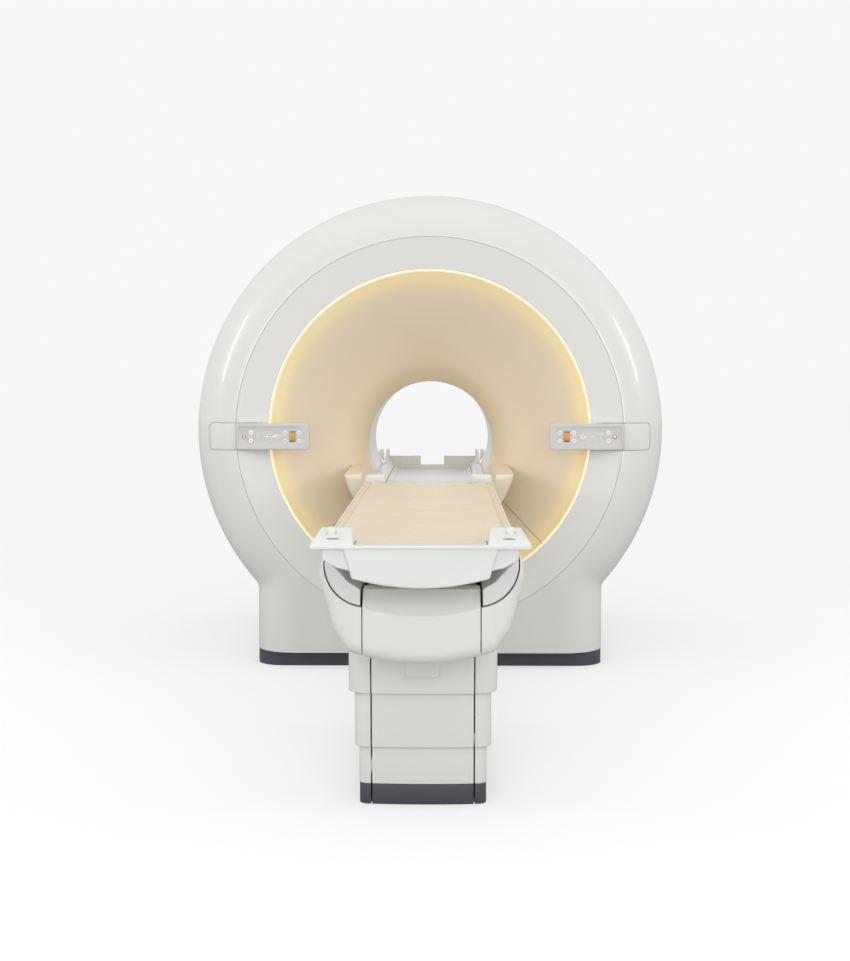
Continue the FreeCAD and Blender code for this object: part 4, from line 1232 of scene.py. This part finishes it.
    def surface(self, x: np.ndarray, y: np.ndarray, inside: np.ndarray) -> np.ndarray:
        """Height of the mattress's top: hollow, round-edged, sewn and slightly wavy.

        Args:
            x: Places across.
            y: Places along the table.
            inside: Distance from the outline.

        Returns:
            The height at each place.
        """
        height = self.top - 0.001 - self.sag * (1 - (x / self.half) ** 2)
        edge = np.clip(self.round_edge - inside, 0, self.round_edge)
        height -= self.round_edge - np.sqrt(self.round_edge ** 2 - edge ** 2)
        lines = [np.abs(y - place) for place in self.cross_seams]
        lines.append(np.abs(np.abs(x) - (self.half - self.border)))
        nearest = np.minimum.reduce(lines)
        height -= self.seam_depth * np.exp(-(nearest / self.seam_half) ** 2)
        height += self.puff * (1 - np.exp(-np.minimum(nearest, inside) / 0.05)) - self.puff
        draw = np.random.default_rng(self.seed)
        for _ in range(self.waves):
            angle, size = draw.uniform(0, math.pi), draw.uniform(0.05, 0.22)
            phase = draw.uniform(0, 2 * math.pi)
            run = x * math.cos(angle) * 2.0 + y * math.sin(angle)
            wave = self.wave_height * np.sin(2 * math.pi * run / size + phase)
            height += wave * np.clip(inside / 0.03, 0, 1)
        return height

    def welt_route(self) -> list:
        """Closed route of the welt, just inside the mattress's notched outline.

        Returns:
            The route's points in order.
        """
        inset = self.welt_inset
        half, neck = self.half - inset, self.neck - inset
        near, far = self.near + inset, self.far - inset
        notch, head = self.near_notch + inset, self.far_notch - inset
        right = [(neck, near), (neck, notch), (half, notch), (half, head), (neck, head), (neck, far)]
        corners = right + [(-x, y) for x, y in reversed(right)]
        route = []
        for (x0, y0), (x1, y1) in zip(corners, corners[1:] + corners[:1]):
            count = max(2, int(math.hypot(x1 - x0, y1 - y0) / 0.02))
            for share in np.linspace(0, 1, count, endpoint=False):
                x, y = x0 + (x1 - x0) * share, y0 + (y1 - y0) * share
                height = self.top - self.welt_drop - self.sag * (1 - (x / self.half) ** 2)
                route.append(Vector((x, y, height)))
        return route


# ---- studio -----------------------------------------------------------------------------------

@dataclass
class Studio:
    """Pale floor, white room, soft lights and the camera."""

    lens_mm: float = 57.39
    camera_place: tuple = (0.0647, -6.525, 1.3734)
    pitch: float = 0.0731
    turn: float = 0.0122
    floor_half: float = 60.0
    room_white: float = 0.94
    room_mean: float = 0.84
    room_pull: tuple = (0.0, -0.08, 0.08)
    floor_albedo: float = 0.50
    floor_lift: float = 0.475

    def build(self) -> None:
        """Make the floor, the lights, the world and the camera."""
        half = self.floor_half
        corners = [(-half, -half, 0), (half, -half, 0), (half, half, 0), (-half, half, 0)]
        floor = make_object("studio_floor", corners, [[0, 1, 2, 3]], TRIM_ABS, smooth=False)
        floor.data.materials[0] = self.floor_material()
        self.add_world()
        self.add_lights()
        self.add_camera()
        LOG.info("studio built")

    def floor_material(self) -> bpy.types.Material:
        """White paper that keeps soft contact shadows and is lifted to the room's white.

        Returns:
            The floor's material.
        """
        made = bpy.data.materials.new("white_paper_floor")
        made.use_nodes = True
        tree = made.node_tree
        output = tree.nodes["Material Output"]
        tree.nodes.remove(tree.nodes["Principled BSDF"])
        seen = add_node(tree, "ShaderNodeLightPath").outputs["Is Camera Ray"]
        lift = add_node(tree, "ShaderNodeMath", {"operation": "MULTIPLY"}, {0: seen, 1: self.floor_lift})
        glow = add_node(tree, "ShaderNodeEmission", inputs={"Strength": lift.outputs[0]})
        matt = add_node(tree, "ShaderNodeBsdfDiffuse", inputs={
            "Color": (self.floor_albedo, self.floor_albedo, self.floor_albedo, 1.0)})
        both = add_node(tree, "ShaderNodeAddShader", inputs={0: glow.outputs[0], 1: matt.outputs[0]})
        tree.links.new(both.outputs[0], output.inputs["Surface"])
        return made

    def add_world(self) -> None:
        """White room that is brightest above and in front of the scanner."""
        world = bpy.data.worlds.new("white_room")
        world.use_nodes = True
        tree = world.node_tree
        sky = tree.nodes["Background"]
        way = add_node(tree, "ShaderNodeTexCoord").outputs["Generated"]
        pull = add_node(tree, "ShaderNodeVectorMath", {"operation": "DOT_PRODUCT"},
                        {0: way, 1: self.room_pull})
        light = add_node(tree, "ShaderNodeMath", {"operation": "ADD"},
                         {0: pull.outputs["Value"], 1: self.room_mean})
        seen = add_node(tree, "ShaderNodeLightPath").outputs["Is Camera Ray"]
        shown = add_node(tree, "ShaderNodeMix", inputs={
            0: seen, 2: light.outputs[0], 3: self.room_white})
        tree.links.new(shown.outputs[0], sky.inputs["Strength"])
        sky.inputs["Color"].default_value = (1.0, 1.0, 1.0, 1.0)
        bpy.context.scene.world = world
        bpy.context.scene.view_settings.view_transform = "Standard"

    def add_light(self, name: str, place: tuple, aim: tuple, size: tuple, power: float) -> None:
        """Add one soft box.

        Args:
            name: The light's name.
            place: Where it hangs.
            aim: The point that it faces.
            size: Its width and height.
            power: Its power in watts.
        """
        data = bpy.data.lights.new(name, "AREA")
        data.shape = "RECTANGLE"
        data.size, data.size_y = size
        data.energy = power
        lamp = bpy.data.objects.new(name, data)
        lamp.location = place
        way = Vector(aim) - Vector(place)
        lamp.rotation_euler = way.to_track_quat("-Z", "Y").to_euler()
        lamp.visible_camera = False
        bpy.context.scene.collection.objects.link(lamp)

    def add_lights(self) -> None:
        """Front and top boxes, a lamp in the bore, and tall strips that run down the ring."""
        self.add_light("front_box", (0.3, -7.4, 2.1), (0.0, 0.0, 1.0), (3.4, 2.2), 48)
        self.add_light("top_box", (0.0, -3.0, 5.4), (0.0, -0.6, 0.9), (4.0, 2.4), 6)
        self.add_light("bore_lamp", (0.0, 1.45, 1.285), (0.0, 1.45, 0.8), (0.10, 0.7), 1.1)
        for side in Side:
            word, sign = side.word, side.value
            self.add_light(f"{word}_strip", (sign * 4.2, -1.6, 2.7), (sign * 0.9, 0.8, 1.5),
                           (0.30, 1.5), 26)
            self.add_light(f"{word}_flare_strip", (sign * 1.5, -5.4, 1.5), (sign * 0.4, 0.8, 1.0),
                           (0.3, 1.8), 13)

    def add_camera(self) -> None:
        """Camera at standing height a little right of the table's axis."""
        data = bpy.data.cameras.new("camera")
        data.lens = self.lens_mm
        data.clip_end = 300
        camera = bpy.data.objects.new("camera", data)
        camera.location = self.camera_place
        camera.rotation_euler = Euler((math.pi / 2 - self.pitch, 0.0, self.turn), "XYZ")
        bpy.context.scene.collection.objects.link(camera)
        bpy.context.scene.camera = camera


def main() -> None:
    """Build the studio and every sub-assembly."""
    logging.basicConfig(level=logging.INFO, format="%(name)s: %(message)s")
    Studio().build()
    Gantry().build()
    BridgeFittings().build()
    for side in Side:
        ControlPanel(side).build()
    Pedestal().build()
    Carriage().build()
    Tabletop().build()


if __name__ == "__main__":
    main()
